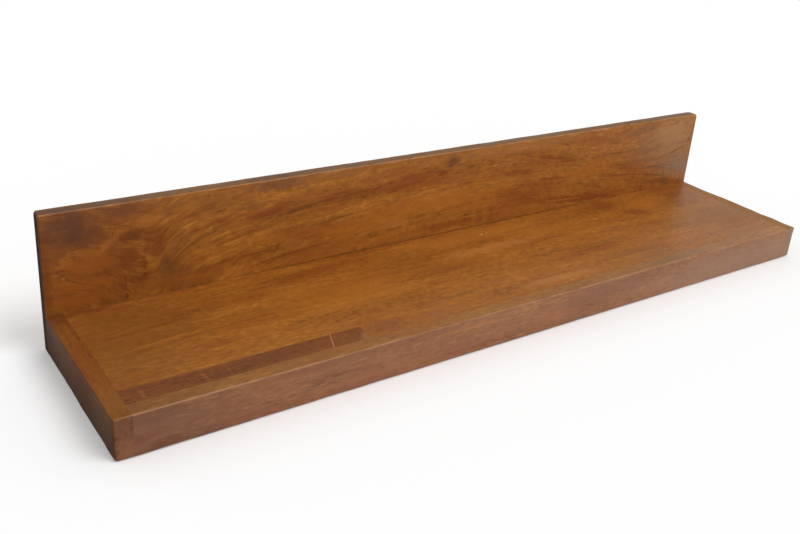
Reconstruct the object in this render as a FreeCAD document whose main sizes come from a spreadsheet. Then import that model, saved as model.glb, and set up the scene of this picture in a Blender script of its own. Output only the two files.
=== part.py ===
import FreeCAD, Part
import os
import re
import Sketcher

# A wall shelf: a boxed shelf of solid boards in front of a full-height back board.
# Millimetres. +X runs along the wall, +Y points to the wall and +Z points up.
# The origin is under the middle of the shelf, level with its lower edge.

SIZES = (
    ("shelf_length", "900", "length along the wall"),
    ("shelf_depth", "200", "wall to front face"),
    ("overall_height", "143", "lower edge to the top of the back board"),
    ("shelf_thickness", "41", "height of the front board and the end boards"),
    ("rim_thickness", "16", "front board and end boards"),
    ("back_thickness", "14", "back board"),
    ("top_thickness", "14", "top board and filler strips"),
    ("panel_thickness", "6", "closing panel underneath"),
    ("panel_inset", "2", "step from the lower edge up to the panel"),
    ("filler_width", "22", "strip let in behind the front board"),
    ("filler_left_length", "197", "dark piece of the strip, at mid-width"),
    ("filler_short_length", "36", "short dark piece of the strip"),
    ("filler_line_width", "1", "pale filler in the slanted joint of the strip"),
    ("filler_line_slant", "8", "how far that joint leans over the strip's width"),
    ("front_batten_width", "38", "batten under the strip and the top board's front"),
    ("rear_batten_width", "20", "batten along the back board"),
    ("rib_width", "18", "cross ribs inside the box"),
    ("rib_count", "3", "number of cross ribs"),
    ("arris_radius", "1.2", "worn upper arrises"),
    ("corner_radius", "3", "upright outer corners"),
    ("foot_radius", "2.5", "lower outer arrises"),
    ("dowel_diameter", "6", "corner and rib dowels"),
    ("corner_dowel_length", "30", "dowel between front board and end board"),
    ("corner_dowel_seat", "10", "its depth in the end board"),
    ("rib_dowel_length", "20", "dowel between rib and batten"),
    ("edge_inset", "12", "dowels and screws in from an end board's long edges"),
    ("glue_room", "0.5", "space past the end of a dowel or a screw"),
    ("fit_clearance", "0.1", "space round a dowel, a screw or a hanger"),
    ("back_screw_length", "32", "screws through the back board"),
    ("top_screw_length", "29", "screws up through the battens"),
    ("screw_shank", "4", "shank of the larger screws"),
    ("screw_head", "8", "head of the larger screws"),
    ("top_screw_shift", "24", "these screws stand beside the back board's screws"),
    ("panel_screw_length", "12", "screws that hold the panel"),
    ("small_screw_shank", "3", "shank of the smaller screws"),
    ("small_screw_head", "6.4", "head of the smaller screws"),
    ("hanger_screw_length", "10", "screws that hold the hangers"),
    ("tip_length", "3", "pointed end of a screw"),
    ("recess_width", "0.9", "one arm of the cross in a screw head"),
    ("recess_depth", "0.9", "depth of that cross"),
    ("hanger_spacing", "600", "between the two keyhole hangers"),
    ("hanger_height", "108", "lower edge of the shelf to the hangers' middle"),
    ("hanger_width", "18", "hanger plate"),
    ("hanger_length", "48", "hanger plate"),
    ("hanger_thickness", "2", "hanger plate"),
    ("hanger_corner", "4", "hanger plate's corner radius"),
    ("hanger_screw_inset", "5", "plate's end to its screw"),
    ("keyhole_entry", "10", "round entry for the wall screw's head"),
    ("keyhole_drop", "7", "plate's middle down to the entry's centre"),
    ("keyhole_slot", "5", "slot for the wall screw's shank"),
    ("keyhole_rise", "14", "entry's centre up to the slot's upper end"),
    ("head_pocket_width", "12", "room in the wood behind the keyhole"),
    ("head_pocket_depth", "7", "room in the wood behind the keyhole"),
)

# Sizes that follow from the ones above.
DERIVED = {
    "half_length": "shelf_length / 2",
    "half_depth": "shelf_depth / 2",
    "inner_length": "shelf_length - 2 * rim_thickness",
    "inner_half": "inner_length / 2",
    "back_face": "half_depth - back_thickness",
    "end_board_length": "shelf_depth - back_thickness",
    "batten_front": "rim_thickness - half_depth",
    "strip_rear": "batten_front + filler_width",
    "top_width": "back_face - strip_rear",
    "core_floor": "panel_inset + panel_thickness",
    "core_top": "shelf_thickness - top_thickness",
    "core_height": "core_top - core_floor",
    "core_middle": "core_height / 2",
    "front_batten_rear": "batten_front + front_batten_width",
    "rear_batten_front": "back_face - rear_batten_width",
    "rib_length": "rear_batten_front - front_batten_rear",
    "bay": "inner_length / (rib_count + 1)",
    "first_bay_middle": "bay / 2",
    "upright_pitch": "shelf_thickness - 2 * edge_inset",
    "top_bearing": "front_batten_width - filler_width",
    "hanger_side": "hanger_spacing / 2",
    "hanger_foot": "hanger_height - hanger_length / 2",
    "hanger_left": "hanger_width / 2",
    "hanger_screw_pitch": "hanger_length - 2 * hanger_screw_inset",
    "entry_height": "hanger_length / 2 - keyhole_drop",
    "slot_top": "entry_height + keyhole_rise - keyhole_slot / 2",
}

TOLERANCE = 0.001
HEAD_ANGLE = 90
CROSS_SHARE = 0.55
TURNS = {
    "upright": (FreeCAD.Vector(1, 0, 0), 0),
    "to_front": (FreeCAD.Vector(1, 0, 0), 90),
    "to_rear": (FreeCAD.Vector(1, 0, 0), -90),
    "to_right": (FreeCAD.Vector(0, 1, 0), 90),
}

doc = FreeCAD.newDocument("WallShelf")
sheet = doc.addObject("Spreadsheet::Sheet", "Sizes")
for row, (alias, number, meaning) in enumerate(SIZES, start=1):
    sheet.set(f"A{row}", meaning)
    sheet.set(f"B{row}", number)
    sheet.setAlias(f"B{row}", alias)
doc.recompute()
ALIASES = {alias for alias, _, _ in SIZES}
sub_parts = []


def expression(text):
    """Write a sum of size names as an expression over the sheet."""
    def full(match):
        word = match.group(0)
        if word in DERIVED:
            return "(" + expression(DERIVED[word]) + ")"
        return "Sizes." + word if word in ALIASES else word
    return re.sub(r"[a-z_]+", full, text)


def value(text):
    """The number that a sum of size names comes to."""
    return float(sheet.evalExpression(expression(text)))


def new_body(label, turn, x, y, z):
    """An empty sub-part, turned one way and placed by three sums."""
    body = doc.addObject("PartDesign::Body", label)
    body.Label = label
    axis, angle = TURNS[turn]
    body.Placement = FreeCAD.Placement(FreeCAD.Vector(), FreeCAD.Rotation(axis, angle))
    for direction, place in (("x", x), ("y", y), ("z", z)):
        body.setExpression(f"Placement.Base.{direction}", expression(place))
    sub_parts.append(body)
    return body


def origin_feature(body, role):
    """One of the body's own planes or axes."""
    return next(item for item in body.Origin.OriginFeatures if item.Role == role)


def new_sketch(body, name, plane, level):
    """A sketch on one of the body's planes, moved along the body's axis to a level."""
    sketch = body.newObject("Sketcher::SketchObject", f"{body.Name}_{name}")
    sketch.AttachmentSupport = [(origin_feature(body, plane), "")]
    sketch.MapMode = "FlatFace"
    facing_back = "-1 * " if plane == "XZ_Plane" else ""
    sketch.setExpression("AttachmentOffset.Base.z", f"{facing_back}({expression(level)})")
    return sketch


def pin_point(sketch, edge, end, x, y):
    """Hold one point of a sketch at two sums from the sketch's origin."""
    if x == "0" and y == "0":
        sketch.addConstraint(Sketcher.Constraint("Coincident", edge, end, -1, 1))
        return
    for kind, place, axis in (("DistanceX", x, -2), ("DistanceY", y, -1)):
        if place == "0":
            sketch.addConstraint(Sketcher.Constraint("PointOnObject", edge, end, axis))
            continue
        rule = Sketcher.Constraint(kind, -1, 1, edge, end, value(place))
        index = sketch.addConstraint(rule)
        sketch.setExpression(f"Constraints[{index}]", expression(place))


def outline(sketch, points):
    """A closed outline of straight lines through points given as sums."""
    places = [FreeCAD.Vector(value(x), value(y), 0) for x, y in points]
    first = sketch.GeometryCount
    for index, place in enumerate(places):
        following = places[(index + 1) % len(places)]
        sketch.addGeometry(Part.LineSegment(place, following), False)
    for index, (x, y) in enumerate(points):
        before = first + (index - 1) % len(points)
        rule = Sketcher.Constraint("Coincident", before, 2, first + index, 1)
        sketch.addConstraint(rule)
        pin_point(sketch, first + index, 1, x, y)


def rectangle(sketch, width, height, left="0", low="0"):
    """A rectangle from its low left corner."""
    right = width if left == "0" else f"{left} + {width}"
    high = height if low == "0" else f"{low} + {height}"
    outline(sketch, [(left, low), (right, low), (right, high), (left, high)])


def circles(sketch, centres, diameter):
    """Equal circles about centres given as sums."""
    for x, y in centres:
        centre = FreeCAD.Vector(value(x), value(y), 0)
        circle = Part.Circle(centre, FreeCAD.Vector(0, 0, 1), value(diameter) / 2)
        edge = sketch.addGeometry(circle, False)
        pin_point(sketch, edge, 3, x, y)
        rule = Sketcher.Constraint("Diameter", edge, value(diameter))
        index = sketch.addConstraint(rule)
        sketch.setExpression(f"Constraints[{index}]", expression(diameter))


def pad(body, sketch, length):
    """Raise a sketch into a solid."""
    feature = body.newObject("PartDesign::Pad", f"{sketch.Name}_pad")
    feature.Profile = sketch
    feature.setExpression("Length", expression(length))
    doc.recompute()
    return feature


def check_cut(body, feature, before):
    """Stop if a cut took nothing away."""
    doc.recompute()
    if feature.Shape.Volume > before - TOLERANCE:
        raise RuntimeError(f"{feature.Name} cuts nothing from {body.Label}")
    return feature


def pocket(body, sketch, depth, reverse=False):
    """Cut a sketch's outline into the body."""
    before = body.Tip.Shape.Volume
    feature = body.newObject("PartDesign::Pocket", f"{sketch.Name}_pocket")
    feature.Profile = sketch
    feature.Reversed = reverse
    feature.setExpression("Length", expression(depth))
    return check_cut(body, feature, before)


def drill(body, sketch, diameter, depth, reverse=False, head=None):
    """Drill the circles of a sketch, flat at the end, with a countersink if asked."""
    before = body.Tip.Shape.Volume
    doc.recompute()
    hole = body.newObject("PartDesign::Hole", f"{sketch.Name}_hole")
    hole.Profile = sketch
    doc.recompute()
    hole.setExpression("Diameter", expression(diameter))
    hole.DepthType = "Dimension"
    hole.setExpression("Depth", expression(depth))
    hole.DrillPoint = "Flat"
    hole.Reversed = reverse
    if head:
        hole.HoleCutType = "Countersink"
        hole.setExpression("HoleCutDiameter", expression(head))
        hole.HoleCutCountersinkAngle = HEAD_ANGLE
    return check_cut(body, hole, before)


def lies_at(edge, axis, place):
    """Whether an edge lies wholly at one place along X, Y or Z of its body."""
    box = edge.BoundBox
    ends = (getattr(box, axis + "Min"), getattr(box, axis + "Max"))
    return all(abs(end - place) < TOLERANCE for end in ends)


def round_edges(body, name, radius, wanted):
    """Round the edges of the body that a test picks."""
    doc.recompute()
    base = body.Tip
    picked = [f"Edge{i}" for i, edge in enumerate(base.Shape.Edges, start=1) if wanted(edge)]
    if not picked:
        raise RuntimeError(f"no edge of {body.Label} is picked for {name}")
    fillet = body.newObject("PartDesign::Fillet", f"{body.Name}_{name}")
    fillet.Base = (base, picked)
    fillet.setExpression("Radius", expression(radius))
    doc.recompute()
    return fillet


def grid(body, features, first, second=None):
    """Repeat features in a row, or in rows, given as (axis, length, count)."""
    pattern = body.newObject("PartDesign::LinearPattern", f"{body.Name}_grid")
    pattern.Originals = features
    for suffix, run in (("", first), ("2", second)):
        if run is None:
            continue
        axis, length, count = run
        setattr(pattern, "Direction" + suffix, (origin_feature(body, axis), [""]))
        pattern.setExpression("Length" + suffix, expression(length))
        pattern.setExpression("Occurrences" + suffix, expression(count))
    body.Tip = pattern
    doc.recompute()
    return pattern


def board(label, length, width, height, x, y, z):
    """A plain board with its low, left, front corner at the body's origin."""
    body = new_body(label, "upright", x, y, z)
    plan = new_sketch(body, "plan", "XY_Plane", "0")
    rectangle(plan, length, width)
    pad(body, plan, height)
    return body


def make_back_board():
    """The full-height board on the wall, with its hanger recesses and screw holes."""
    body = board("back_board", "shelf_length", "back_thickness", "overall_height",
                 "-1 * half_length", "back_face", "0")
    length, thickness = value("shelf_length"), value("back_thickness")
    for name, end, step in (("left", "0", "arris_radius"),
                            ("right", "shelf_length", "shelf_length - arris_radius")):
        arris = new_sketch(body, f"{name}_arris", "XY_Plane", "shelf_thickness")
        outline(arris, [(end, "0"), (step, "0"), (end, "arris_radius")])
        pocket(body, arris, "overall_height - shelf_thickness", reverse=True)
    round_edges(body, "rear_corners", "corner_radius", lambda edge: lies_at(edge, "Y", thickness)
                and (lies_at(edge, "X", 0) or lies_at(edge, "X", length)))
    round_edges(body, "foot", "foot_radius",
                lambda edge: lies_at(edge, "Z", 0) and not lies_at(edge, "Y", 0))
    height = value("overall_height")
    round_edges(body, "top", "arris_radius", lambda edge: lies_at(edge, "Z", height))

    shank, head = "screw_shank + 2 * fit_clearance", "screw_head + 2 * fit_clearance"
    ends = new_sketch(body, "end_screws", "XZ_Plane", "back_thickness")
    places = ("rim_thickness / 2", "shelf_length - rim_thickness / 2")
    circles(ends, [(x, z) for x in places for z in ("edge_inset", "edge_inset + upright_pitch")],
            shank)
    drill(body, ends, shank, "back_thickness", reverse=True, head=head)
    middle = new_sketch(body, "batten_screws", "XZ_Plane", "back_thickness")
    bays = range(int(value("rib_count")) + 1)
    circles(middle, [(f"rim_thickness + first_bay_middle + {bay} * bay",
                      "core_floor + core_middle") for bay in bays], shank)
    drill(body, middle, shank, "back_thickness", reverse=True, head=head)
    for side, centre in (("left", "half_length - hanger_side"),
                         ("right", "half_length + hanger_side")):
        cut_hanger_seat(body, side, centre)


def cut_hanger_seat(body, side, centre):
    """The plate's shallow recess, the room for the wall screw's head and two pilot holes."""
    recess = new_sketch(body, f"{side}_recess", "XZ_Plane", "back_thickness")
    rectangle(recess, "hanger_width + 2 * fit_clearance", "hanger_length + 2 * fit_clearance",
              f"{centre} - hanger_left - fit_clearance", "hanger_foot - fit_clearance")
    pocket(body, recess, "hanger_thickness", reverse=True)
    floor = value("back_thickness - hanger_thickness")
    left = value(f"{centre} - hanger_left - fit_clearance")
    right = value(f"{centre} + hanger_left + fit_clearance")
    low = value("hanger_foot - fit_clearance")
    high = value("hanger_foot + hanger_length + fit_clearance")
    round_edges(body, f"{side}_recess_corners", "hanger_corner", lambda edge: (
        edge.BoundBox.YLength > TOLERANCE and edge.BoundBox.YMin > floor - TOLERANCE
        and (lies_at(edge, "X", left) or lies_at(edge, "X", right))
        and (lies_at(edge, "Z", low) or lies_at(edge, "Z", high))))

    level = "back_thickness - hanger_thickness"
    ends = new_sketch(body, f"{side}_head_ends", "XZ_Plane", level)
    circles(ends, [(centre, "hanger_foot + entry_height"), (centre, "hanger_foot + slot_top")],
            "head_pocket_width")
    drill(body, ends, "head_pocket_width", "head_pocket_depth", reverse=True)
    room = new_sketch(body, f"{side}_head_room", "XZ_Plane", level)
    rectangle(room, "head_pocket_width", "slot_top - entry_height",
              f"{centre} - head_pocket_width / 2", "hanger_foot + entry_height")
    pocket(body, room, "head_pocket_depth", reverse=True)

    shank = "small_screw_shank + 2 * fit_clearance"
    pilots = new_sketch(body, f"{side}_pilots", "XZ_Plane", level)
    low_screw = "hanger_foot + hanger_screw_inset"
    circles(pilots, [(centre, low_screw), (centre, low_screw + " + hanger_screw_pitch")], shank)
    drill(body, pilots, shank, "hanger_screw_length - hanger_thickness + glue_room", reverse=True)


def make_end_board(label, x, outer, inner, inner_is_high):
    """An end board from the back board to the front face, rounded on its outer side."""
    body = board(label, "rim_thickness", "end_board_length", "shelf_thickness",
                 x, "-1 * half_depth", "0")
    outside, inside = value(outer), value(inner)
    rear, height = value("end_board_length"), value("shelf_thickness")
    round_edges(body, "corner", "corner_radius",
                lambda edge: lies_at(edge, "X", outside) and lies_at(edge, "Y", 0))
    for name, radius, level in (("foot", "foot_radius", 0), ("top", "arris_radius", height)):
        round_edges(body, name, radius, lambda edge: lies_at(edge, "Z", level)
                    and not lies_at(edge, "X", inside) and not lies_at(edge, "Y", rear))

    dowel = "dowel_diameter + 2 * fit_clearance"
    joint = new_sketch(body, "dowels", "YZ_Plane", inner)
    heights = ("edge_inset", "edge_inset + upright_pitch")
    circles(joint, [("rim_thickness / 2", z) for z in heights], dowel)
    drill(body, joint, dowel, "corner_dowel_seat + glue_room", reverse=not inner_is_high)
    shank = "screw_shank + 2 * fit_clearance"
    screws = new_sketch(body, "screws", "XZ_Plane", "end_board_length")
    circles(screws, [("rim_thickness / 2", z) for z in heights], shank)
    drill(body, screws, shank, "back_screw_length - back_thickness + glue_room", reverse=True)


def make_front_board():
    """The board along the front, between the end boards."""
    body = board("front_board", "inner_length", "rim_thickness", "shelf_thickness",
                 "-1 * inner_half", "-1 * half_depth", "0")
    for name, radius, level in (("foot", "foot_radius", 0),
                                ("top", "arris_radius", value("shelf_thickness"))):
        round_edges(body, name, radius,
                    lambda edge: lies_at(edge, "Y", 0) and lies_at(edge, "Z", level))
    dowel = "dowel_diameter + 2 * fit_clearance"
    depth = "corner_dowel_length - corner_dowel_seat + glue_room"
    for name, level, low_end in (("left", "0", True), ("right", "inner_length", False)):
        joint = new_sketch(body, f"{name}_dowels", "YZ_Plane", level)
        circles(joint, [("rim_thickness / 2", z)
                        for z in ("edge_inset", "edge_inset + upright_pitch")], dowel)
        drill(body, joint, dowel, depth, reverse=low_end)


def make_top_board():
    """The wide board of the upper face, screwed from underneath."""
    body = board("top_board", "inner_length", "top_width", "top_thickness",
                 "-1 * inner_half", "strip_rear", "core_top")
    shank = "screw_shank + 2 * fit_clearance"
    screws = new_sketch(body, "pilot_holes", "XY_Plane", "0")
    rows = ("top_bearing / 2", "top_width - rear_batten_width / 2")
    circles(screws, [(top_screw_place(bay), y) for bay in range(int(value("rib_count")) + 1)
                     for y in rows], shank)
    drill(body, screws, shank, "top_screw_length - core_height + glue_room", reverse=True)


def top_screw_place(bay):
    """How far a bay's screw into the top board stands from the batten's left end."""
    return f"first_bay_middle + top_screw_shift + {bay} * bay"


def make_strip(label, start, end, start_slant, end_slant):
    """One piece of the strip let in behind the front board."""
    body = new_body(label, "upright", "-1 * inner_half", "batten_front", "core_top")
    plan = new_sketch(body, "plan", "XY_Plane", "0")
    lean = "filler_line_slant / 2"
    near = [start if not start_slant else f"{start} - {lean}",
            end if not end_slant else f"{end} - {lean}"]
    far = [end if not end_slant else f"{end} + {lean}",
           start if not start_slant else f"{start} + {lean}"]
    outline(plan, [(near[0], "0"), (near[1], "0"),
                   (far[0], "filler_width"), (far[1], "filler_width")])
    pad(body, plan, "top_thickness")


def make_batten(label, width, y, rear_screws):
    """A long batten inside the box, drilled for its ribs, its panel and the top board."""
    body = board(label, "inner_length", width, "core_height", "-1 * inner_half", y, "core_floor")
    bays = range(int(value("rib_count")) + 1)
    screw_line = "rear_batten_width / 2" if rear_screws else "filler_width + top_bearing / 2"
    shank, head = "screw_shank + 2 * fit_clearance", "screw_head + 2 * fit_clearance"
    upward = new_sketch(body, "top_screws", "XY_Plane", "0")
    circles(upward, [(top_screw_place(bay), screw_line) for bay in bays], shank)
    drill(body, upward, shank, "core_height", reverse=True, head=head)
    small = "small_screw_shank + 2 * fit_clearance"
    panel = new_sketch(body, "panel_screws", "XY_Plane", "0")
    circles(panel, [(f"first_bay_middle + {bay} * bay", f"{width} / 2") for bay in bays], small)
    drill(body, panel, small, "panel_screw_length - panel_thickness + glue_room", reverse=True)
    dowel = "dowel_diameter + 2 * fit_clearance"
    ribs = new_sketch(body, "dowels", "XZ_Plane", "0" if rear_screws else width)
    circles(ribs, [(f"{bay} * bay", "core_middle") for bay in bays if bay], dowel)
    drill(body, ribs, dowel, "rib_dowel_length / 2 + glue_room", reverse=not rear_screws)
    if rear_screws:
        screws = new_sketch(body, "back_screws", "XZ_Plane", width)
        circles(screws, [(f"first_bay_middle + {bay} * bay", "core_middle") for bay in bays],
                shank)
        drill(body, screws, shank, "back_screw_length - back_thickness + glue_room", reverse=True)


def make_rib(number):
    """A cross rib between the battens, doweled at both ends."""
    body = board(f"cross_rib_{number}", "rib_width", "rib_length", "core_height",
                 f"{number} * bay - inner_half - rib_width / 2", "front_batten_rear",
                 "core_floor")
    dowel = "dowel_diameter + 2 * fit_clearance"
    for name, level, far_end in (("front", "0", False), ("rear", "rib_length", True)):
        end = new_sketch(body, f"{name}_dowel", "XZ_Plane", level)
        circles(end, [("rib_width / 2", "core_middle")], dowel)
        drill(body, end, dowel, "rib_dowel_length / 2 + glue_room", reverse=far_end)
    small = "small_screw_shank + 2 * fit_clearance"
    panel = new_sketch(body, "panel_screw", "XY_Plane", "0")
    circles(panel, [("rib_width / 2", "rib_length / 2")], small)
    drill(body, panel, small, "panel_screw_length - panel_thickness + glue_room", reverse=True)


def make_bottom_panel():
    """The thin panel that closes the box underneath."""
    body = board("bottom_panel", "inner_length", "back_face - batten_front", "panel_thickness",
                 "-1 * inner_half", "batten_front", "panel_inset")
    bays = range(int(value("rib_count")) + 1)
    rows = ("front_batten_width / 2", "back_face - batten_front - rear_batten_width / 2")
    places = [(f"first_bay_middle + {bay} * bay", y) for bay in bays for y in rows]
    places += [(f"{bay} * bay", "front_batten_width + rib_length / 2") for bay in bays if bay]
    shank = "small_screw_shank + 2 * fit_clearance"
    screws = new_sketch(body, "screws", "XY_Plane", "0")
    circles(screws, places, shank)
    drill(body, screws, shank, "panel_thickness", reverse=True,
          head="small_screw_head + 2 * fit_clearance")


def make_dowels(label, turn, length, place, first, second):
    """Plain dowels, repeated in two directions."""
    body = new_body(label, turn, *place)
    section = new_sketch(body, "section", "XY_Plane", "0")
    circles(section, [("0", "0")], "dowel_diameter")
    grid(body, [pad(body, section, length)], first, second)


def make_screws(label, turn, sizes, place, first, second=None):
    """Countersunk screws with a cross in the head, repeated in rows.

    The head's flat face is at the body's XY plane and the point is on +Z.
    """
    shank, head, length = sizes
    body = new_body(label, turn, *place)
    profile = new_sketch(body, "profile", "XZ_Plane", "0")
    outline(profile, [("0", "0"), (f"{head} / 2", "0"),
                      (f"{shank} / 2", f"({head} - {shank}) / 2"),
                      (f"{shank} / 2", f"{length} - tip_length"), ("0", length)])
    turned = body.newObject("PartDesign::Revolution", f"{body.Name}_turned")
    turned.Profile = profile
    turned.ReferenceAxis = (profile, ["V_Axis"])
    turned.Angle = 360
    doc.recompute()
    arms = []
    for name, size in (("across", (f"{head} * {CROSS_SHARE}", "recess_width")),
                       ("along", ("recess_width", f"{head} * {CROSS_SHARE}"))):
        arm = new_sketch(body, name, "XY_Plane", "0")
        width, height = size
        rectangle(arm, width, height, f"-1 * ({width}) / 2", f"-1 * ({height}) / 2")
        arms.append(pocket(body, arm, "recess_depth", reverse=True))
    grid(body, [turned] + arms, first, second)


def make_hanger(label, centre):
    """A keyhole plate, flush in the rear face, its entry below its slot."""
    body = new_body(label, "to_front", f"{centre} - hanger_left", "half_depth", "hanger_foot")
    plate = new_sketch(body, "plate", "XY_Plane", "0")
    rectangle(plate, "hanger_width", "hanger_length")
    pad(body, plate, "hanger_thickness")
    round_edges(body, "corners", "hanger_corner",
                lambda edge: edge.BoundBox.ZLength > TOLERANCE)
    entry = new_sketch(body, "entry", "XY_Plane", "0")
    circles(entry, [("hanger_left", "entry_height")], "keyhole_entry")
    drill(body, entry, "keyhole_entry", "hanger_thickness", reverse=True)
    top = new_sketch(body, "slot_top", "XY_Plane", "0")
    circles(top, [("hanger_left", "slot_top")], "keyhole_slot")
    drill(body, top, "keyhole_slot", "hanger_thickness", reverse=True)
    slot = new_sketch(body, "slot", "XY_Plane", "0")
    rectangle(slot, "keyhole_slot", "slot_top - entry_height",
              "hanger_left - keyhole_slot / 2", "entry_height")
    pocket(body, slot, "hanger_thickness", reverse=True)
    screws = new_sketch(body, "screws", "XY_Plane", "0")
    low = "hanger_screw_inset"
    shank = "small_screw_shank + 2 * fit_clearance"
    circles(screws, [("hanger_left", low), ("hanger_left", low + " + hanger_screw_pitch")], shank)
    drill(body, screws, shank, "hanger_thickness", reverse=True,
          head="small_screw_head + 2 * fit_clearance")


def make_box():
    """Every board, strip, batten and rib of the shelf."""
    make_back_board()
    make_end_board("left_end_board", "-1 * half_length", "0", "rim_thickness", True)
    make_end_board("right_end_board", "inner_half", "rim_thickness", "0", False)
    make_front_board()
    make_top_board()
    line_end = "filler_left_length + filler_line_width"
    short_end = line_end + " + filler_short_length"
    make_strip("filler_strip_left", "0", "filler_left_length", False, True)
    make_strip("filler_line", "filler_left_length", line_end, True, True)
    make_strip("filler_strip_short", line_end, short_end, True, False)
    make_strip("filler_strip_right", short_end, "inner_length", False, False)
    make_batten("front_batten", "front_batten_width", "batten_front", False)
    make_batten("rear_batten", "rear_batten_width", "rear_batten_front", True)
    for number in range(1, int(value("rib_count")) + 1):
        make_rib(number)
    make_bottom_panel()


def make_fastenings():
    """The dowels, the screws and the two hangers."""
    make_dowels("corner_dowels", "to_right", "corner_dowel_length",
                ("-1 * inner_half - corner_dowel_seat", "rim_thickness / 2 - half_depth",
                 "edge_inset + upright_pitch"),
                ("X_Axis", "upright_pitch", "2"),
                ("Z_Axis", "inner_length + 2 * corner_dowel_seat - corner_dowel_length", "2"))
    make_dowels("rib_dowels", "to_rear", "rib_dowel_length",
                ("bay - inner_half", "front_batten_rear - rib_dowel_length / 2",
                 "core_floor + core_middle"),
                ("X_Axis", "bay * (rib_count - 1)", "rib_count"),
                ("Z_Axis", "rib_length", "2"))
    large = ("screw_shank", "screw_head")
    small = ("small_screw_shank", "small_screw_head")
    bays = ("X_Axis", "bay * rib_count", "rib_count + 1")
    make_screws("end_board_screws", "to_front", (*large, "back_screw_length"),
                ("rim_thickness / 2 - half_length", "half_depth", "edge_inset"),
                ("X_Axis", "shelf_length - rim_thickness", "2"),
                ("Y_Axis", "upright_pitch", "2"))
    make_screws("batten_screws", "to_front", (*large, "back_screw_length"),
                ("first_bay_middle - inner_half", "half_depth", "core_floor + core_middle"), bays)
    make_screws("top_board_screws", "upright", (*large, "top_screw_length"),
                (top_screw_place(0) + " - inner_half", "strip_rear + top_bearing / 2",
                 "core_floor"), bays,
                ("Y_Axis", "top_width - top_bearing / 2 - rear_batten_width / 2", "2"))
    make_screws("panel_screws", "upright", (*small, "panel_screw_length"),
                ("first_bay_middle - inner_half", "batten_front + front_batten_width / 2",
                 "panel_inset"), bays,
                ("Y_Axis", "back_face - batten_front - rear_batten_width / 2"
                 " - front_batten_width / 2", "2"))
    make_screws("rib_screws", "upright", (*small, "panel_screw_length"),
                ("bay - inner_half", "front_batten_rear + rib_length / 2", "panel_inset"),
                ("X_Axis", "bay * (rib_count - 1)", "rib_count"))
    make_screws("hanger_screws", "to_front", (*small, "hanger_screw_length"),
                ("-1 * hanger_side", "half_depth", "hanger_foot + hanger_screw_inset"),
                ("X_Axis", "hanger_spacing", "2"), ("Y_Axis", "hanger_screw_pitch", "2"))
    make_hanger("left_hanger", "-1 * hanger_side")
    make_hanger("right_hanger", "hanger_side")


def write_parts():
    """Check the whole document, then write one file for each sub-part."""
    doc.recompute()
    for item in doc.Objects:
        if {"Invalid", "Error"} & set(item.State):
            raise RuntimeError(f"{item.Name} is {item.State}")
    for body in sub_parts:
        if body.Shape.isNull() or not body.Shape.isValid():
            raise RuntimeError(f"{body.Label} has no valid shape")
    os.makedirs("parts", exist_ok=True)
    for body in sub_parts:
        body.Shape.exportStep(os.path.join("parts", body.Label + ".step"))
        box = body.Shape.BoundBox
        print(f"{body.Label}: {len(body.Shape.Solids)} solids, {body.Shape.Volume:.0f} mm3, "
              f"x {box.XMin:.1f} to {box.XMax:.1f}, y {box.YMin:.1f} to {box.YMax:.1f}, "
              f"z {box.ZMin:.1f} to {box.ZMax:.1f}")


make_box()
make_fastenings()
write_parts()
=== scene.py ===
"""Looks for a wooden wall shelf: a boxed shelf in front of a full-height back board.

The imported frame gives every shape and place.  This script dresses the boards in stained
timber, wears the arrises of the outer ones, puts cut screws where the frame has plain ones,
and sets up the studio.  Lengths are millimetres, except in the studio.
"""

import logging
import math
from dataclasses import dataclass, replace
from enum import Enum
from typing import ClassVar, Iterator, Optional, Sequence, Union

import bmesh
import bpy
from mathutils import Matrix, Vector, noise


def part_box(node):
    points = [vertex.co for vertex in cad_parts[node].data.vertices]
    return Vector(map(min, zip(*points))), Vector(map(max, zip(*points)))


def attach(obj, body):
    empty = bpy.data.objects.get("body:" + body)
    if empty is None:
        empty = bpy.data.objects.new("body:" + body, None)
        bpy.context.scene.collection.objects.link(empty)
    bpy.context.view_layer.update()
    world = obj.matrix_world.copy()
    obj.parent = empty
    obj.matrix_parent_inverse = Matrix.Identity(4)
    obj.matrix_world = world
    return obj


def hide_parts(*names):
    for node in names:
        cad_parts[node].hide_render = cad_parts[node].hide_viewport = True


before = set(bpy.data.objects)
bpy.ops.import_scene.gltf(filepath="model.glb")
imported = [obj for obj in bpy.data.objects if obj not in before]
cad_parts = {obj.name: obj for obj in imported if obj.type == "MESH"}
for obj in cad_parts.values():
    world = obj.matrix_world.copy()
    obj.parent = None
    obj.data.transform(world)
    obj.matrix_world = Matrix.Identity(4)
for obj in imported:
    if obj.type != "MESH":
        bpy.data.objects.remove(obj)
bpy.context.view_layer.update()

LOG = logging.getLogger("wall_shelf")
MM = 0.001
PER_METRE = 1000.0

Colour = tuple[int, int, int]
Point = tuple[float, float, float]
Span = tuple[float, float]


def linear(colour: Colour) -> tuple[float, float, float, float]:
    """Turn a colour as it looks on a screen into the light values that nodes use.

    Args:
        colour: Red, green and blue from 0 to 255.

    Returns:
        Scene-linear red, green, blue and an alpha of 1.
    """
    # The numbers are those of the sRGB curve.
    shares = [part / 255 for part in colour]
    light = [s / 12.92 if s <= 0.04045 else ((s + 0.055) / 1.055) ** 2.4 for s in shares]
    return (light[0], light[1], light[2], 1.0)


@dataclass(frozen=True)
class Texture:
    """One layer of irregular grain.

    Attributes:
        sizes: Size of the coarsest grain along, across and into the wood, in millimetres.
        detail: How many finer layers are added.
        rough: How strong the finer layers are.
        seed: A number that picks the layer's own pattern.
        reach: How far the layer swings what it is added to.
    """

    sizes: Point
    detail: float
    rough: float
    seed: float
    reach: float = 1.0


# The middle value of a noise, and of every other share from 0 to 1.
EVEN = 0.5
# How far one step of a seed moves a texture along, across and into the wood.
SEED_STEPS = (7.31, 3.17, 5.83)

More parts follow.
